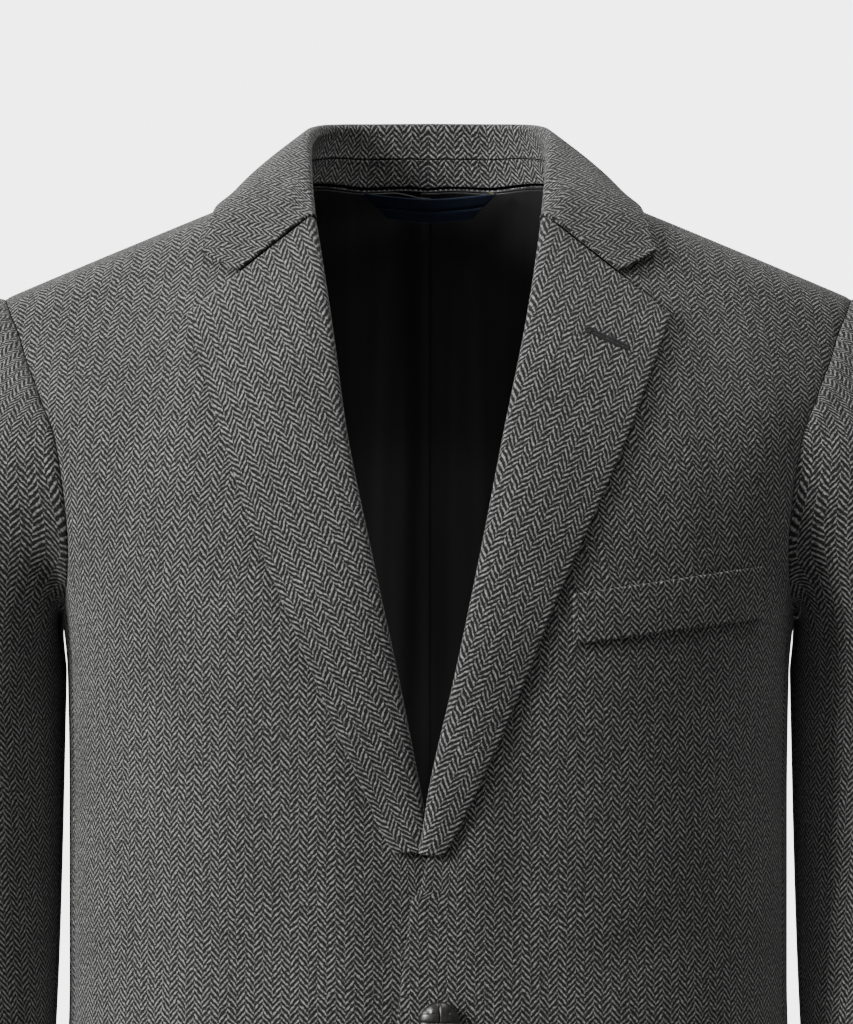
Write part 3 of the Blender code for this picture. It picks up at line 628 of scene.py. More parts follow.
def fold_section(steps=9):
    """Across the fold: distances from the roll line and lifts, from the return to the top."""
    angle = np.linspace(-math.pi / 2, math.pi / 2, steps)
    distance = FOLD_RADIUS * (1 - np.cos(angle))
    lift = FOLD_RADIUS * np.sin(angle)
    back = np.array((FOLD_RETURN, FOLD_RETURN - 0.0005, FOLD_RETURN - 0.0013))
    return (np.concatenate((back, distance)),
            np.concatenate((np.full(3, -FOLD_RADIUS), lift)))


def lapel_spots(side, v):
    """The roll line and the lapel's edge at shares v of the lapel's height, in front view."""
    roll_z = blend(ROLL_FOOT, GORGE[1], v)
    edge_z = blend(LAPEL_EDGE.columns[0][0], LAPEL_CORNER[1], v)
    roll = np.stack((FRONT_EDGE(side, roll_z), roll_z), axis=-1)
    edge = np.stack((LAPEL_EDGE(side, edge_z), edge_z), axis=-1)
    return roll, edge


def lapel_grid(side, rows=96, columns=30):
    """Across each row: the return inside the fold, round the fold, then out to the lapel's edge."""
    v = blend(LAPEL_START, 1.0, spread(rows, 0.36))
    roll, edge = lapel_spots(side, v)
    reach = np.linalg.norm(edge - roll, axis=-1)[:, None]
    onward = unit(edge - roll)
    distance, lift = fold_section()
    distance = np.broadcast_to(distance, (len(v), len(distance)))
    lift = np.broadcast_to(lift, distance.shape)
    tail = spread(columns, 0.07)[len(EDGE_STEPS) - 1:]
    belly = LAPEL_BELLY * np.minimum(reach / 0.05, 1) * np.sin(math.pi * tail ** 0.7)
    belly = belly * (1 - smooth_step(0.8, 1.0, v))[:, None]
    distance = np.concatenate((distance, blend(FOLD_RADIUS, reach, tail)), axis=1)
    distance = np.minimum(distance, np.maximum(reach, FOLD_RADIUS * 0.6))
    lift = np.concatenate((lift, FOLD_RADIUS + belly), axis=1)
    spot = roll[:, None] + onward[:, None] * distance[..., None]
    x, z = spot[..., 0], spot[..., 1]
    grid = lifted(panel_place(x, z), overlap_lift(side, x, z) + lift)
    run = np.linalg.norm(np.diff(grid, axis=1), axis=-1)
    across = np.concatenate((np.zeros((len(v), 1)), np.cumsum(run, axis=1)), axis=1)
    across = across - across[:, -1:]
    along = unit(edge[-1] - edge[len(v) // 3])
    up = spot @ along
    slide_edge(grid, GORGE_GAP, row=-1)
    return grid, np.stack((across, up), axis=-1)


# --- the collar ---------------------------------------------------------------------------------

def clear_of_body(point, least):
    """Pushes points on the shoulders out until they stand the least distance off the torso."""
    x, y = point[..., 0], point[..., 1]
    level = level_over(x, y)
    turn = turn_at(x, level, back=y > 0)
    normal = body_normal(turn, level)
    height = (point[..., 2] - body(turn, level)[..., 2]) * normal[..., 2]
    return point + normal * np.maximum(least - height, 0.0)[..., None]


def neck_frames(station):
    """At each station: the fold's ridge, the neckline, the leaf's edge, the fold's directions."""
    def ridge_at(at):
        x = np.copysign(NECK("ridge_x", np.abs(at)), at)
        return np.stack((x, NECK("ridge_y", np.abs(at)), NECK("ridge_z", np.abs(at))), axis=-1)

    ridge = ridge_at(station)
    seam = lifted(neck_place(station))
    leaf_x, leaf_y = NECK("leaf_x", station), NECK("leaf_y", station)
    leaf_level = level_over(leaf_x, leaf_y)
    leaf_place = np.stack((turn_at(leaf_x, leaf_level, back=leaf_y > 0), leaf_level), axis=-1)
    leaf = lifted(leaf_place, COLLAR_LIFT)
    tangent = ridge_at(np.minimum(station + 0.01, 1.0)) - ridge_at(station - 0.01)
    inward = unit(leaf - ridge)
    outward = unit(np.cross(tangent, inward))
    return ridge, seam, leaf, inward, outward


def collar_lines(station, columns):
    """Lines across the collar, from the stand seam inside, over the fold, to the leaf's edge."""
    ridge, seam, leaf, inward, outward = neck_frames(station)
    angle = np.linspace(-math.pi / 2, math.pi / 2, 9)[None, :, None]
    fold = (ridge[:, None] + inward[:, None] * FOLD_RADIUS * (1 - np.cos(angle))
            + outward[:, None] * FOLD_RADIUS * np.sin(angle))
    inside, outside = fold[:, 0], fold[:, -1]
    near_gorge = smooth_step(0.72, 1.0, station)[:, None]
    foot = blend(blend(inside, seam, 1 - STAND_SPLIT), inside + inward * FOLD_RETURN, near_gorge)
    first = blend(foot[:, None], inside[:, None], spread(5, 0.03)[None, :-7, None])
    share = spread(columns, 0.06)[len(EDGE_STEPS) - 1:][None, :, None]
    leaf_part = blend(outside[:, None], leaf[:, None], share)
    leaf_part = leaf_part + outward[:, None] * COLLAR_BELLY * np.sin(math.pi * share)
    leaf_part = clear_of_body(leaf_part, COLLAR_LIFT)
    hug = smooth_step(0.55, 1.0, share) * smooth_step(0.93, 0.72, station)[:, None, None]
    leaf_part = leaf_part - outward[:, None] * LEAF_HUG * hug
    return np.concatenate((first, fold, leaf_part), axis=1), first.shape[1] + 9


def collar_end_line(count, before):
    """The last line: along the gorge seam to the notch, then up the leaf's front edge."""
    roll, corner = np.array(GORGE), np.array(LAPEL_CORNER)
    reach = np.linalg.norm(corner - roll)
    onward = unit(corner - roll)
    distance, lift = fold_section()
    back = np.interp(np.linspace(0, 2, before - 9), (0, 1, 2), distance[:3])
    distance = np.concatenate((back, distance[3:]))
    lift = np.concatenate((np.full(len(back), -FOLD_RADIUS), lift[3:]))
    spots = roll + onward * distance[:, None]
    share = spread(count - before - len(EDGE_STEPS) + 1, 0.06)[len(EDGE_STEPS) - 1:]
    notch = roll + onward * reach * NOTCH_SHARE
    corner = np.array(LEAF_CORNER)
    to_notch, to_corner = np.linalg.norm(notch - roll), np.linalg.norm(corner - notch)
    turn = to_notch / (to_notch + to_corner)
    along = np.clip(share / turn, 0, 1)[:, None]
    beyond = np.clip((share - turn) / (1 - turn), 0, 1)[:, None]
    tail = np.where(share[:, None] <= turn, blend(roll + onward * FOLD_RADIUS, notch, along),
                    blend(notch, corner, beyond))
    spots = np.concatenate((spots, tail))
    lift = np.concatenate((lift, np.full(len(share), COLLAR_LIFT)))
    return lifted(panel_place(spots[:, 0], spots[:, 1]), lift)


def mirrored_rows(half):
    """A half grid from the centre back outwards, made whole across the centre line."""
    return np.concatenate((half[:0:-1] * np.array((-1.0, 1.0, 1.0)), half))


COLLAR_END_ROWS = 7


def collar_grid(columns=30, stations=64):
    station = np.linspace(0, 0.955, stations)
    half, before = collar_lines(station, columns)
    end = collar_end_line(half.shape[1], before)
    near = half[-1]
    last = [blend(near, end, t) for t in (0.30, 0.55, 0.75, 0.88, 0.95, 0.985, 1.0)]
    half = np.concatenate((half, np.array(last)))
    grid = mirrored_rows(half)
    middle = grid.shape[0] // 2
    ridge = grid[:, before - 5]
    run = np.concatenate(([0.0], np.cumsum(np.linalg.norm(np.diff(ridge, axis=0), axis=-1))))
    along = np.abs(run - run[middle])
    steps = np.linalg.norm(np.diff(grid, axis=1), axis=-1)
    across = np.concatenate((np.zeros((grid.shape[0], 1)), np.cumsum(steps, axis=1)), axis=1)
    leaf_line = grid[:, -1]
    leaf_steps = np.linalg.norm(np.diff(leaf_line, axis=0), axis=-1)
    leaf_run = np.concatenate(([0.0], np.cumsum(leaf_steps)))
    leaf_along = np.abs(leaf_run - leaf_run[middle])
    share = np.clip((across - across[:, before - 5, None]) / 0.06, 0, 1)
    cut = np.stack((blend(along[:, None], leaf_along[:, None], share), across), axis=-1)
    for ends, lines in ((grid, cut), (grid[::-1], cut[::-1])):
        last = len(ends) - COLLAR_END_ROWS - 1
        way = unit(ends[last] - ends[last - 1])
        leaf_way = unit(np.gradient(ends[last], axis=0))
        leaf_way = unit(leaf_way - way * np.sum(way * leaf_way, axis=-1, keepdims=True))
        moved = ends[last + 1:] - ends[last]
        lines[last + 1:, :, 0] = lines[last, :, 0] + np.sum(moved * way, axis=-1)
        lines[last + 1:, :, 1] = lines[last, :, 1] + np.sum(moved * leaf_way, axis=-1)
    slide_edge(grid, GORGE_GAP, row=0)
    slide_edge(grid, GORGE_GAP, row=-1)
    slide_edge(grid, COLLAR_INNER_GAP, column=0)
    return grid, cut


def stand_grid(stations=60, rows=10):
    """The band between the neckline and the collar's inner edge; it runs out before the gorge."""
    station = np.linspace(0, 0.76, stations)
    ridge, seam, _, inward, outward = neck_frames(station)
    inside = ridge + inward * FOLD_RADIUS - outward * FOLD_RADIUS
    near_gorge = smooth_step(0.72, 1.0, station)[:, None]
    top = blend(blend(inside, seam, 1 - STAND_SPLIT), inside + inward * FOLD_RETURN, near_gorge)
    share = spread(rows, 0.022)[None, :, None]
    grid = mirrored_rows(blend(seam[:, None], top[:, None], share))
    middle = grid.shape[0] // 2
    run = np.concatenate(([0.0], np.cumsum(np.linalg.norm(np.diff(grid[:, -1], axis=0), axis=-1))))
    steps = np.linalg.norm(np.diff(grid, axis=1), axis=-1)
    up = np.concatenate((np.zeros((grid.shape[0], 1)), np.cumsum(steps, axis=1)), axis=1)
    along = np.abs(run - run[middle])[:, None]
    cut = np.stack((np.broadcast_to(along, up.shape), up), axis=-1)
    slide_edge(grid, STAND_GAP, column=0)
    slide_edge(grid, SEAM_GAP, column=-1)
    return grid, cut


# --- what lies inside the back and on the front --------------------------------------------------

def lining_grid(side):
    """The back lining; the right half is raised along the centre as a pleat over the left half."""
    places = back_places(columns=44, lower=90, upper=40)
    places = places[places[:, 0, 1] > HEM + LINING_HEM]
    flat = body(places[..., 0], places[..., 1])
    past_centre = 0.0045 if side == "left" else 0.0015
    below_neck = flat[:, 0, 0] < 1e-4
    share = spread(44, 0.19)[None, :]
    level = places[..., 1]
    shift = turn_at(past_centre, level) * (1 - share) ** 3 * below_neck[:, None]
    places = np.stack((places[..., 0] + shift, level), axis=-1)
    flat = body(places[..., 0], places[..., 1])
    x, z = flat[..., 0], flat[..., 2]
    lift = np.full(x.shape, -LINING_DEPTH)
    if side == "right":
        lift = lift - PLEAT_HEIGHT * (1 - smooth_step(0.002, 0.020, x))
    settle = smooth_step(0.0, -0.05, z) * smooth_step(0.17, 0.12, x)
    lift = lift - np.abs(trough("lining", x, z)) * settle
    grid = lifted(places, lift)
    slide_edge(grid, np.where(below_neck, 0.0, LINING_NECK_GAP)[:, None], column=0)
    slide_edge(grid, LINING_SIDE_GAP, column=-1)
    slide_edge(grid, LINING_SHOULDER_GAP, row=-1)
    return grid, cut_on_body(places, flat, back=True)


def label_grid(columns=44, rows=12):
    share = blend(-1, 1, spread(columns, 0.08))[None, :]
    fall = spread(rows, 0.013)[:, None]
    half_width = blend(LABEL_TOP[0], LABEL_FOOT[0], fall)
    z = blend(LABEL_TOP[1], LABEL_FOOT[1], fall)
    x = half_width * share
    z = np.broadcast_to(z, x.shape)
    lift = -blend(0.0100, 0.0060, np.abs(share) ** 1.6) - 0.0038 * fall
    point = lifted(panel_place(np.abs(x) + 1e-6, z, back=True), lift)
    across = np.copysign(point[..., 0], x) + LABEL_CENTRE
    grid = np.stack((across, point[..., 1], point[..., 2]), axis=-1)
    down = np.broadcast_to(fall * LABEL_LENGTH, x.shape)
    return grid[:, ::-1], np.stack((x, -down), axis=-1)[:, ::-1]


def welt_grid(columns=40, rows=10):
    x = blend(WELT.columns[0][0], WELT.columns[0][-1], spread(columns, 0.104))[None, :]
    climb = spread(rows, 0.027)[:, None]
    z = blend(WELT("foot", x), WELT("top", x), climb)
    x = np.broadcast_to(x, z.shape)
    places = panel_place(x, z)
    lift = CLOTH / 2 + CLEARANCE + WELT_CLOTH / 2 - trough("front", x, z)
    flat = body(places[..., 0], places[..., 1])
    return lifted(places, lift), cut_on_body(places, flat)


# --- shells ---------------------------------------------------------------------------------------

def grid_normals(grid):
    across = np.gradient(grid, axis=1)
    upward = np.gradient(grid, axis=0)
    return unit(np.cross(across, upward))


def edge_reach(grid):
    """How far each point is from the first row, the last row, and both ends of its row."""
    rows = np.linalg.norm(np.diff(grid, axis=0), axis=-1)
    columns = np.linalg.norm(np.diff(grid, axis=1), axis=-1)
    foot = np.concatenate((np.zeros((1, grid.shape[1])), np.cumsum(rows, axis=0)))
    inner = np.concatenate((np.zeros((grid.shape[0], 1)), np.cumsum(columns, axis=1)), axis=1)
    return {"foot": foot, "top": foot[-1:] - foot, "inner": inner, "outer": inner[:, -1:] - inner}


def shell(name, made, thickness, outside, inside=None, seams="", flip=False, hand=1):
    """A closed shell of a grid: both faces, thinned to a round at every edge, and the rims."""
    grid, cut = made
    rows, columns = grid.shape[:2]
    normal = grid_normals(grid) * (-1 if flip else 1)
    reach = edge_reach(grid)
    ditch = sum(np.exp(-(reach[edge] / SEAM_REACH) ** 2) for edge in seams.split())
    nearest = np.minimum.reduce(list(reach.values()))
    half = thickness / 2
    rounded = half * np.sqrt(np.clip(1 - (1 - np.minimum(nearest / half, 1)) ** 2, 0.04, 1))
    middle = grid - normal * (SEAM_DITCH * np.minimum(ditch, 1.0))[..., None] if seams else grid
    top = (middle + normal * rounded[..., None]).reshape(-1, 3)
    bottom = (middle - normal * rounded[..., None]).reshape(-1, 3)
    points = np.concatenate((top, bottom)) * np.array((hand, 1.0, 1.0))
    index = np.arange(rows * columns).reshape(rows, columns)
    quads = np.stack((index[:-1, :-1], index[:-1, 1:], index[1:, 1:], index[1:, :-1]), axis=-1)
    quads = quads.reshape(-1, 4)
    under = quads[:, ::-1] + rows * columns
    loop = np.concatenate((index[0], index[1:, -1], index[-1, -2::-1], index[-2:0:-1, 0]))
    after = np.roll(loop, -1)
    rim = np.stack((after, loop, loop + rows * columns, after + rows * columns), axis=-1)
    faces = np.concatenate((quads, under, rim))
    if (hand < 0) != flip:
        faces = faces[:, ::-1]
    mesh = bpy.data.meshes.new(name)
    mesh.from_pydata(points.tolist(), [], faces.tolist())
    layer = mesh.uv_layers.new(name="cut")
    both = np.concatenate((cut.reshape(-1, 2), cut.reshape(-1, 2)))
    layer.data.foreach_set("uv", both[faces.reshape(-1)].reshape(-1))
    mesh.materials.append(outside)
    if inside:
        mesh.materials.append(inside)
        kinds = np.zeros(len(faces), dtype=np.int32)
        kinds[len(quads):len(quads) + len(under)] = 1
        mesh.polygons.foreach_set("material_index", kinds)
    mesh.shade_smooth()
    piece = bpy.data.objects.new(name, mesh)
    bpy.context.scene.collection.objects.link(piece)
    return piece


def flat_cut(cut, halves=1):
    """A piece's width, length and area as it lay flat; one half's map stands for both."""
    width, length = np.ptp(cut[..., 0]) * halves, np.ptp(cut[..., 1])
    first = cut[1:, 1:] - cut[:-1, :-1]
    second = cut[1:, :-1] - cut[:-1, 1:]
    area = np.abs(first[..., 0] * second[..., 1] - first[..., 1] * second[..., 0]).sum() / 2
    return (float(width), float(length)), float(min(area, width * length))


# --- finishes -------------------------------------------------------------------------------------

class Wire:
    """A number that varies over a surface: arithmetic on it adds Math nodes."""

    def __init__(self, finish, socket):
        self.finish = finish
        self.socket = socket

    def maths(self, operation, *values):
        sockets = dict(enumerate((self, *values)))
        return self.finish.add("ShaderNodeMath", {"operation": operation}, sockets)

    def __add__(self, other):
        return self.maths("ADD", other)

    def __sub__(self, other):
        return self.maths("SUBTRACT", other)

    def __mul__(self, other):
        return self.maths("MULTIPLY", other)

    def __truediv__(self, other):
        return self.maths("DIVIDE", other)

    def __rsub__(self, other):
        return self.maths("MULTIPLY", -1.0).maths("ADD", other)

    __radd__ = __add__
    __rmul__ = __mul__

    def between(self, low, high):
        """0 below low, 1 above high, smooth between them."""
        sockets = {"Value": self, "From Min": low, "From Max": high}
        return self.finish.add("ShaderNodeMapRange", {"interpolation_type": "SMOOTHSTEP"}, sockets)


class Finish:
    """A material in the making, with one Principled shader."""

    def __init__(self, name, **numbers):
        self.material = bpy.data.materials.new(name)
        self.material.use_nodes = True
        self.tree = self.material.node_tree
        self.shader = self.tree.nodes["Principled BSDF"]
        for socket, number in numbers.items():
            self.shader.inputs[socket.replace("_", " ")].default_value = number

    def plug(self, value, socket):
        if isinstance(value, Wire):
            self.tree.links.new(value.socket, socket)
        else:
            socket.default_value = value

    def add(self, kind, settings=None, sockets=None, output=0):
        node = self.tree.nodes.new(kind)
        for name, setting in (settings or {}).items():
            setattr(node, name, setting)
        for name, value in (sockets or {}).items():
            self.plug(value, node.inputs[name])
        return Wire(self, node.outputs[output])

    def cut(self):
        """Where each point lay on the flat cloth: across and up, in metres."""
        place = self.add("ShaderNodeUVMap", {"uv_map": "cut"})
        split = self.add("ShaderNodeSeparateXYZ", sockets={"Vector": place})
        return split, Wire(self, split.socket.node.outputs[1])

    def noise(self, across, up, across_scale, up_scale, detail=2.0):
        sockets = {"X": across * across_scale, "Y": up * up_scale}
        place = self.add("ShaderNodeCombineXYZ", sockets=sockets)
        settings = {"noise_dimensions": "2D"}
        return self.add("ShaderNodeTexNoise", settings,
                        {"Vector": place, "Scale": 1.0, "Detail": detail})

    def mix(self, share, first, second):
        node = self.tree.nodes.new("ShaderNodeMix")
        node.data_type = "RGBA"
        self.plug(share, node.inputs["Factor"])
        self.plug(first, node.inputs[6])
        self.plug(second, node.inputs[7])
        return Wire(self, node.outputs[2])

    def set(self, **wires):
        for socket, wire in wires.items():
            self.plug(wire, self.shader.inputs[socket.replace("_", " ")])

    def bump(self, height, distance, strength=1.0):
        sockets = {"Height": height, "Distance": distance, "Strength": strength}
        self.set(Normal=self.add("ShaderNodeBump", sockets=sockets))


COLUMN = 0.00498          # width of one column of the herringbone
TWILL_PITCH = 0.00346     # from one twill line up to the next
TWILL_RISE = 1.09         # how steeply the twill lines climb


def make_tweed(name):
    """Herringbone: short fuzzy floats of light yarn that climb and fall over a dark ground."""
    finish = Finish(name, Roughness=0.95, Specular_IOR_Level=0.18, Sheen_Weight=0.18,
                    Sheen_Roughness=0.5)
    across, up = finish.cut()
    waver = finish.noise(across, up, 150, 150)
    drift = finish.noise(across + 3.0, up, 150, 150)
    across_thread = across + (waver - 0.5) * 0.0013
    up_thread = up + (drift - 0.5) * 0.0019
    zigzag = across_thread.maths("PINGPONG", COLUMN)
    column = (across_thread / COLUMN).maths("FLOOR").maths("FLOORED_MODULO", 2.0)
    phase = (up_thread + zigzag * TWILL_RISE) / TWILL_PITCH + column * 0.5
    fibre = finish.noise(across, up, 1500, 1500, 3.0)
    tuft = finish.noise(across + 7.0, up, 620, 620)
    wave = (phase * (2 * math.pi)).maths("SINE")
    line = (wave + (tuft - 0.5) * 2.0 + (fibre - 0.5) * 1.4).between(-0.25, 1.05)
    slub = finish.noise(across, up, 700, 30)
    weft = finish.noise(across + 11.0, up, 40, 620)
    cloud = finish.noise(across + 5.0, up, 16, 16, 4.0)
    fleck = finish.noise(across + 17.0, up, 330, 330).between(0.62, 0.78)
    pale = finish.mix(tuft.between(0.3, 0.75), (0.195, 0.195, 0.188, 1), (0.400, 0.400, 0.386, 1))
    dark = finish.mix(fibre.between(0.35, 0.75), (0.008, 0.008, 0.0085, 1),
                      (0.045, 0.045, 0.046, 1))
    colour = finish.mix(line, dark, pale)
    tone = 0.30 + slub * 0.42 + weft * 0.34 + cloud * 0.34 + fleck * 0.30
    toned = finish.add("ShaderNodeVectorMath", {"operation": "SCALE"},
                       {"Vector": colour, "Scale": tone})
    finish.set(Base_Color=toned)
    finish.bump(line * 0.7 + fibre * 0.45, 0.0005, 0.9)
    return finish.material


def make_lining():
    finish = Finish("lining_satin", Roughness=0.38, Specular_IOR_Level=0.45, Sheen_Weight=0.08)
    across, up = finish.cut()
    cloud = finish.noise(across, up, 22, 5)
    # Painted sheen: upright streaks, lighter and darker in the satin's base colour, stand in for
    # the sheen along its folds.
    band = finish.noise(across, up, 38, 1.5)
    colour = finish.mix(band.between(0.35, 0.70), (0.022, 0.0212, 0.0216, 1),
                        (0.054, 0.052, 0.053, 1))
    thread = finish.noise(across, up, 2600, 160)
    finish.set(Base_Color=colour, Roughness=0.33 + cloud * 0.14)
    finish.bump(thread, 0.00008, 0.5)
    return finish.material


def make_label():
    finish = Finish("label_weave", Roughness=0.72, Specular_IOR_Level=0.3)
    across, up = finish.cut()
    thread = (up * (2 * math.pi / 0.00045)).maths("SINE")
    rib = (across * (2 * math.pi / 0.00060)).maths("SINE")
    tone = finish.noise(across, up, 160, 160)
    navy = finish.mix(tone, (0.0125, 0.0205, 0.0450, 1), (0.0200, 0.0310, 0.0620, 1))
    foot = -LABEL_LENGTH
    border = 1 - up.between(foot + 0.0008, foot + 0.0016)
    finish.set(Base_Color=finish.mix(border, navy, (0.075, 0.100, 0.145, 1)))
    finish.bump(thread * 0.5 + rib * 0.3, 0.00010, 0.6)
    return finish.material


def make_leather():
    finish = Finish("button_leather", Roughness=0.34, Specular_IOR_Level=0.5, Coat_Weight=0.35,
                    Coat_Roughness=0.22)
    place = finish.add("ShaderNodeTexCoord", output=3)
    sockets = {"Vector": place, "Scale": 900.0, "Detail": 4.0}
    grain = finish.add("ShaderNodeTexNoise", sockets=sockets)
    pores = finish.add("ShaderNodeTexVoronoi", {"feature": "F1"},
                       {"Vector": place, "Scale": 2600.0})
    worn = finish.add("ShaderNodeTexNoise", sockets={"Vector": place, "Scale": 160.0})
    colour = finish.mix(worn.between(0.35, 0.75), (0.0060, 0.0052, 0.0048, 1),
                        (0.0190, 0.0170, 0.0155, 1))
    finish.set(Base_Color=colour, Roughness=0.26 + grain * 0.22)
    finish.bump(grain * 0.6 + pores * 0.5, 0.00012, 0.5)
    return finish.material


def make_thread(name, colour):
    finish = Finish(name, Roughness=0.75, Sheen_Weight=0.2)
    place = finish.add("ShaderNodeTexCoord", output=3)
    fibre = finish.add("ShaderNodeTexNoise", sockets={"Vector": place, "Scale": 4000.0})
    dimmed = tuple(0.6 * part for part in colour)
    finish.set(Base_Color=finish.mix(fibre, (*dimmed, 1), (*colour, 1)))
    finish.bump(fibre, 0.0001, 0.5)
    return finish.material


# --- trim -----------------------------------------------------------------------------------------

def surface_under(piece, x, z):
    """The point of a piece that faces the front at x and z, and the normal there."""
    hit, spot, normal, _ = piece.ray_cast(Vector((x, -1.0, z)), Vector((0, 1, 0)))
    if not hit:
        raise ValueError(f"{piece.name} isn't in front at {x:.4f}, {z:.4f}")
    return spot, normal


def leather_height(x, y):
    """The woven leather's height over the unit disc: strips that pass over and under."""
    radius = np.hypot(x, y)
    dome = np.sqrt(np.clip(1 - (radius * 0.985) ** 2, 0, 1))
    strip = 0.46
    upright = np.abs((np.abs(x) - strip / 2) / (strip / 2))
    level = np.abs((np.abs(y) - strip / 2) / (strip / 2))
    in_upright, in_level = np.abs(x) < strip, np.abs(y) < strip
    over = np.where(in_upright & in_level, x * y > 0, in_upright)
    across = np.where(over, upright, level)
    crown = 0.10 * np.sqrt(np.clip(1 - np.clip(across, 0, 1) ** 4, 0, 1))
    corner = ~in_upright & ~in_level
    diagonal = np.abs(np.abs(x) - np.abs(y)) / 0.5
    crown = np.where(corner, 0.085 * np.clip(diagonal, 0, 1), crown)
    seam = np.exp(-(x / 0.035) ** 2) + 0.8 * np.exp(-(y / 0.035) ** 2)
    return dome, crown - 0.07 * np.minimum(seam, 1)


def make_button(leather):
    """The woven leather button: a dome of strips, drawn in under its rim."""
    radius, rim = BUTTON_DIAMETER / 2, 0.0032
    rings, spokes = 46, 144
    angle = np.linspace(0, 2 * math.pi, spokes, endpoint=False)[None, :]
    share = np.sin(np.linspace(0, math.pi / 2, rings))[:, None]
    x, y = share * np.cos(angle), share * np.sin(angle)
    dome, crown = leather_height(x, y)
    height = (rim + (BUTTON_HEIGHT - rim - 0.0006) * dome
              + crown * 0.0062 * np.clip(1.4 - share, 0, 1))
    out = 1 + crown * 0.22 * share ** 4
    points = [np.stack((x * radius * out * 0.985, y * radius * out * 0.985, height), axis=-1)]
    for scale, z in ((1.0, 0.0026), (0.985, 0.0018), (0.93, 0.0010),
                     (0.80, 0.0005), (0.30, 0.0004)):
        last = points[0][-1] if scale == 1.0 else points[0][-1] * np.array((scale, scale, 1.0))
        ring = last.copy()
        ring[:, 2] = z
        points.append(ring[None])
    points = np.concatenate(points).reshape(-1, 3)
    rows = rings + 5
    index = np.arange(rows * spokes).reshape(rows, spokes)
    after = np.roll(index, -1, axis=1)
    quads = np.stack((index[:-1], index[1:], after[1:], after[:-1]), axis=-1).reshape(-1, 4)
    faces = quads.tolist() + [index[-1][::-1].tolist()]
    mesh = bpy.data.meshes.new("button_leather_cover")
    mesh.from_pydata(points.tolist(), [], faces)
    shape = bmesh.new()
    shape.from_mesh(mesh)
    bmesh.ops.remove_doubles(shape, verts=shape.verts, dist=1e-6)
    bmesh.ops.recalc_face_normals(shape, faces=shape.faces)
    shape.to_mesh(mesh)
    shape.free()
    mesh.materials.append(leather)
    mesh.shade_smooth()
    button = bpy.data.objects.new("button_leather_cover", mesh)
    bpy.context.scene.collection.objects.link(button)
    x, z = BUTTON_PLACE
    place = panel_place(np.array(x), np.array(z))
    spot = lifted(place, overlap_lift("left", x, z) + CLOTH / 2 + BUTTON_SEAT)
    normal = Vector(body_normal(place[0], place[1]).tolist())
    turned = normal.to_track_quat("Z", "Y").to_matrix().to_4x4()
    turned.translation = Vector(spot.tolist())
    mesh.transform(turned)
    return button


def stitch(ends, thickness, lift, normal):
    """One thread over the cloth, as points of a small arch between its ends."""
    first, last = ends
    points = []
    for i in range(6):
        t = i / 5
        points.append(first.lerp(last, t) + normal * lift * math.sin(math.pi * t) ** 0.6)
    return points, thickness


def thread_piece(name, stitches, material):
    """All stitches of one sewn detail as a single curve with a round section."""
    curve = bpy.data.curves.new(name, "CURVE")
    curve.dimensions = "3D"
    curve.bevel_depth = stitches[0][1]
    curve.bevel_resolution = 2
    curve.use_fill_caps = True
    for points, _ in stitches:
        spline = curve.splines.new("POLY")
        spline.points.add(len(points) - 1)
        for target, point in zip(spline.points, points):
            target.co = (*point, 1.0)
    made = bpy.data.objects.new(name, curve)
    bpy.context.scene.collection.objects.link(made)
    mesh = bpy.data.meshes.new_from_object(made)
    mesh.name = name
    bpy.data.objects.remove(made, do_unlink=True)
    mesh.materials.clear()
    mesh.materials.append(material)
    mesh.shade_smooth()
    piece = bpy.data.objects.new(name, mesh)
    bpy.context.scene.collection.objects.link(piece)
    return piece


def make_buttonhole(lapel, thread):
    """Close stitches down both sides of the slit, and round the eye at its inner end."""
    start, end = Vector((*BUTTONHOLE_EYE,)), Vector((*BUTTONHOLE_END,))
    run = end - start
    side = Vector((-run.y, run.x)).normalized()
    stitches = []
    count = 34
    for k in range(count):
        spot = start + run * (0.10 + 0.90 * k / (count - 1))
        for way in (1, -1):
            near, far = spot + side * way * 0.0002, spot + side * way * (0.0015 + 0.0002 * (k % 2))
            a, normal = surface_under(lapel, near.x, near.y)
            b, _ = surface_under(lapel, far.x, far.y)
            stitches.append(stitch((a, b), 0.00034, 0.00030, normal))
    for k in range(18):
        angle = 2 * math.pi * k / 18
        out = Vector((math.cos(angle), math.sin(angle)))
        near, far = start + out * 0.0007, start + out * 0.0021
        a, normal = surface_under(lapel, near.x, near.y)
        b, _ = surface_under(lapel, far.x, far.y)
        stitches.append(stitch((a, b), 0.00034, 0.00030, normal))
    return thread_piece("buttonhole_stitches", stitches, thread)


def make_tack(label, thread):
    """Two short stitches that hold the label's upper corner."""
    corner = max((point.co for point in label.data.vertices), key=lambda spot: spot.x + spot.z)
    towards_front = Vector((0, -1, 0))
    stitches = []
    for inwards in (0.0018, 0.0030):
        first = corner + Vector((-inwards, -0.0010, -0.0012))
        last = first + Vector((-0.0015, 0, 0.0010))
        stitches.append(stitch((first, last), 0.00032, 0.0004, towards_front))
    return thread_piece("label_tack_stitches", stitches, thread)


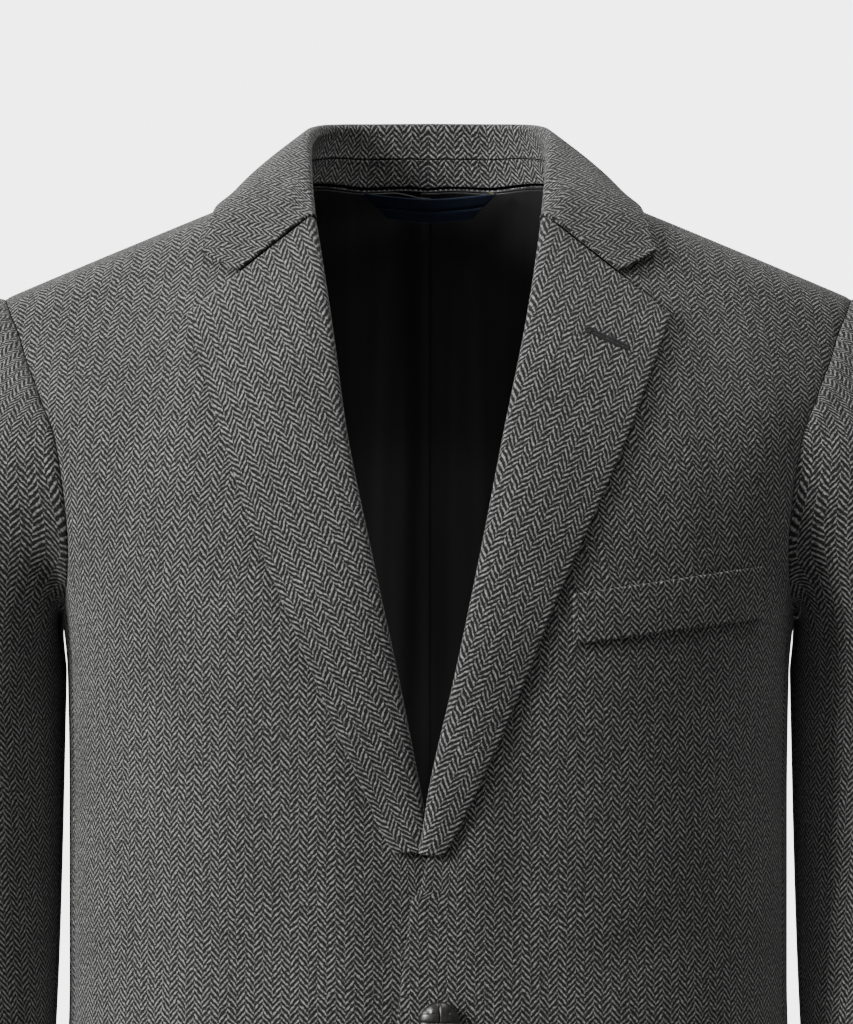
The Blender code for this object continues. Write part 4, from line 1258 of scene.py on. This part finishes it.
def build():
    tweed = make_tweed("tweed")
    satin = make_lining()
    panels = (
        # piece, its grid, cloth wall, seams, turned about, how it is held, what it rests on
        ("front", None, CLOTH, "outer top", False, "hung", ["collar_stand"]),
        ("side", side_grid(), CLOTH, "inner outer top", False, "hung", ["top_sleeve_{}"]),
        ("back", back_grid(), CLOTH, "inner outer top", True, "hung", ["collar_stand"]),
        ("top_sleeve", sleeve_grid(SLEEVE_BACK, SLEEVE_FRONT, 56, 0.28), CLOTH,
         "inner outer foot", False, "hung", ["front_{}", "back_{}"]),
        ("under_sleeve", sleeve_grid(SLEEVE_FRONT, 2 + SLEEVE_BACK, 26, 0.12), CLOTH,
         "inner outer foot", False, "hung", ["side_{}", "back_{}"]),
        ("lapel", None, TURNED_CLOTH, "top", False, "folded", ["front_{}"]),
        ("lining_back", None, LINING_CLOTH, "", True, "hung", ["back_{}"]))
    both_sides = {"front": front_grid, "lapel": lapel_grid, "lining_back": lining_grid}
    pieces = {}
    for side, hand in (("left", 1), ("right", -1)):
        for name, made, wall, seams, turned, held, rests_on in panels:
            made = made or both_sides[name](side)
            node = f"{name}_{side}"
            face = satin if name == "lining_back" else tweed
            inside = None if name in ("lapel", "lining_back") else satin
            piece = shell(f"{node}_cloth", made, wall, face, inside, seams, turned, hand)
            pieces[node] = piece
            flat, area = flat_cut(made[1])
    singles = (
        ("collar", collar_grid(), TURNED_CLOTH, tweed, "inner foot top", False, 2,
         "folded", ["collar_stand", "lapel_left", "lapel_right"]),
        ("collar_stand", stand_grid(), CLOTH, tweed, "outer", False, 2,
         "folded", ["back_left", "back_right"]),
        ("breast_welt", welt_grid(), WELT_CLOTH, tweed, "", False, 1, "laid", ["front_left"]),
        ("label", label_grid(), LABEL_CLOTH, make_label(), "", True, 1,
         "laid", ["lining_back_left", "lining_back_right"]))
    for node, made, wall, face, seams, turned, halves, held, rests_on in singles:
        piece = shell(f"{node}_cloth", made, wall, face, None, seams, turned)
        pieces[node] = piece
        flat, area = flat_cut(made[1], halves)
    for node, piece in pieces.items():
        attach(piece, "root")
        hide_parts(node)
    return pieces


AMBIENT = 0.31
GROUND_GLOW = 4.7
CAMERA_PLACE = (-0.001, -3.2, -0.18)
CAMERA_LENS = 201           # millimetres, as the sensor
CAMERA_SENSOR = 36
LAMP_AIM = (0, 0, -0.25)
FLOOR_DROP = 0.35           # below the hem
FLOOR_SIZE = 40
FLOOR_GREY = (0.22, 0.22, 0.22, 1)
BUTTONHOLE_THREAD = (0.0075, 0.0075, 0.0085)
TACK_THREAD = (0.20, 0.17, 0.035)
LAMPS = (
    # name, place, size, watts
    ("key", (-2.8, -1.8, 1.1), 1.0, 160.0),
    ("overhead", (0.4, -0.9, 2.6), 1.4, 32.0),
    ("rim", (0.0, 2.4, 1.8), 2.0, 40.0))


def make_stage():
    """The camera, a soft studio light and a plain pale floor."""
    camera = bpy.data.objects.new("camera", bpy.data.cameras.new("camera"))
    camera.location = CAMERA_PLACE
    camera.rotation_euler = (math.pi / 2, 0, 0)
    camera.data.lens = CAMERA_LENS
    camera.data.sensor_width = CAMERA_SENSOR
    camera.data.sensor_fit = "AUTO"
    bpy.context.scene.collection.objects.link(camera)
    bpy.context.scene.camera = camera

    world = bpy.data.worlds.new("studio")
    world.use_nodes = True
    nodes, links = world.node_tree.nodes, world.node_tree.links
    soft = nodes["Background"]
    soft.inputs["Color"].default_value = (1.0, 1.0, 1.0, 1)
    soft.inputs["Strength"].default_value = AMBIENT
    seen = nodes.new("ShaderNodeBackground")
    seen.inputs["Color"].default_value = (1.0, 1.0, 1.0, 1)
    seen.inputs["Strength"].default_value = GROUND_GLOW
    path, either = nodes.new("ShaderNodeLightPath"), nodes.new("ShaderNodeMixShader")
    links.new(path.outputs["Is Camera Ray"], either.inputs[0])
    links.new(soft.outputs[0], either.inputs[1])
    links.new(seen.outputs[0], either.inputs[2])
    links.new(either.outputs[0], nodes["World Output"].inputs["Surface"])
    bpy.context.scene.world = world

    for name, place, size, watts in LAMPS:
        light = bpy.data.lights.new(name, "AREA")
        light.size = size
        light.energy = watts
        lamp = bpy.data.objects.new(name, light)
        lamp.location = place
        aim = Vector(LAMP_AIM) - Vector(place)
        lamp.rotation_euler = aim.to_track_quat("-Z", "Y").to_euler()
        bpy.context.scene.collection.objects.link(lamp)

    floor_mesh = bpy.data.meshes.new("floor")
    shape = bmesh.new()
    bmesh.ops.create_grid(shape, x_segments=1, y_segments=1, size=FLOOR_SIZE)
    shape.to_mesh(floor_mesh)
    shape.free()
    floor = bpy.data.objects.new("floor", floor_mesh)
    floor.location = (0, 0, HEM - FLOOR_DROP)
    pale = Finish("pale_floor", Roughness=0.9)
    pale.shader.inputs["Base Color"].default_value = FLOOR_GREY
    glow = pale.add("ShaderNodeEmission", sockets={"Strength": GROUND_GLOW})
    seen = pale.add("ShaderNodeLightPath")
    sheet = pale.add("ShaderNodeMixShader", sockets={0: seen, 1: Wire(pale, pale.shader.outputs[0]),
                                                    2: glow})
    pale.tree.links.new(sheet.socket, pale.tree.nodes["Material Output"].inputs["Surface"])
    floor_mesh.materials.append(pale.material)
    bpy.context.scene.collection.objects.link(floor)


pieces = build()
bpy.context.view_layer.update()

button = make_button(make_leather())
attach(button, "root")
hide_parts("button_front")

buttonhole = make_buttonhole(pieces["lapel_left"],
                             make_thread("buttonhole_thread", BUTTONHOLE_THREAD))
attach(buttonhole, "root")

tack = make_tack(pieces["label"], make_thread("tack_thread", TACK_THREAD))
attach(tack, "root")

make_stage()
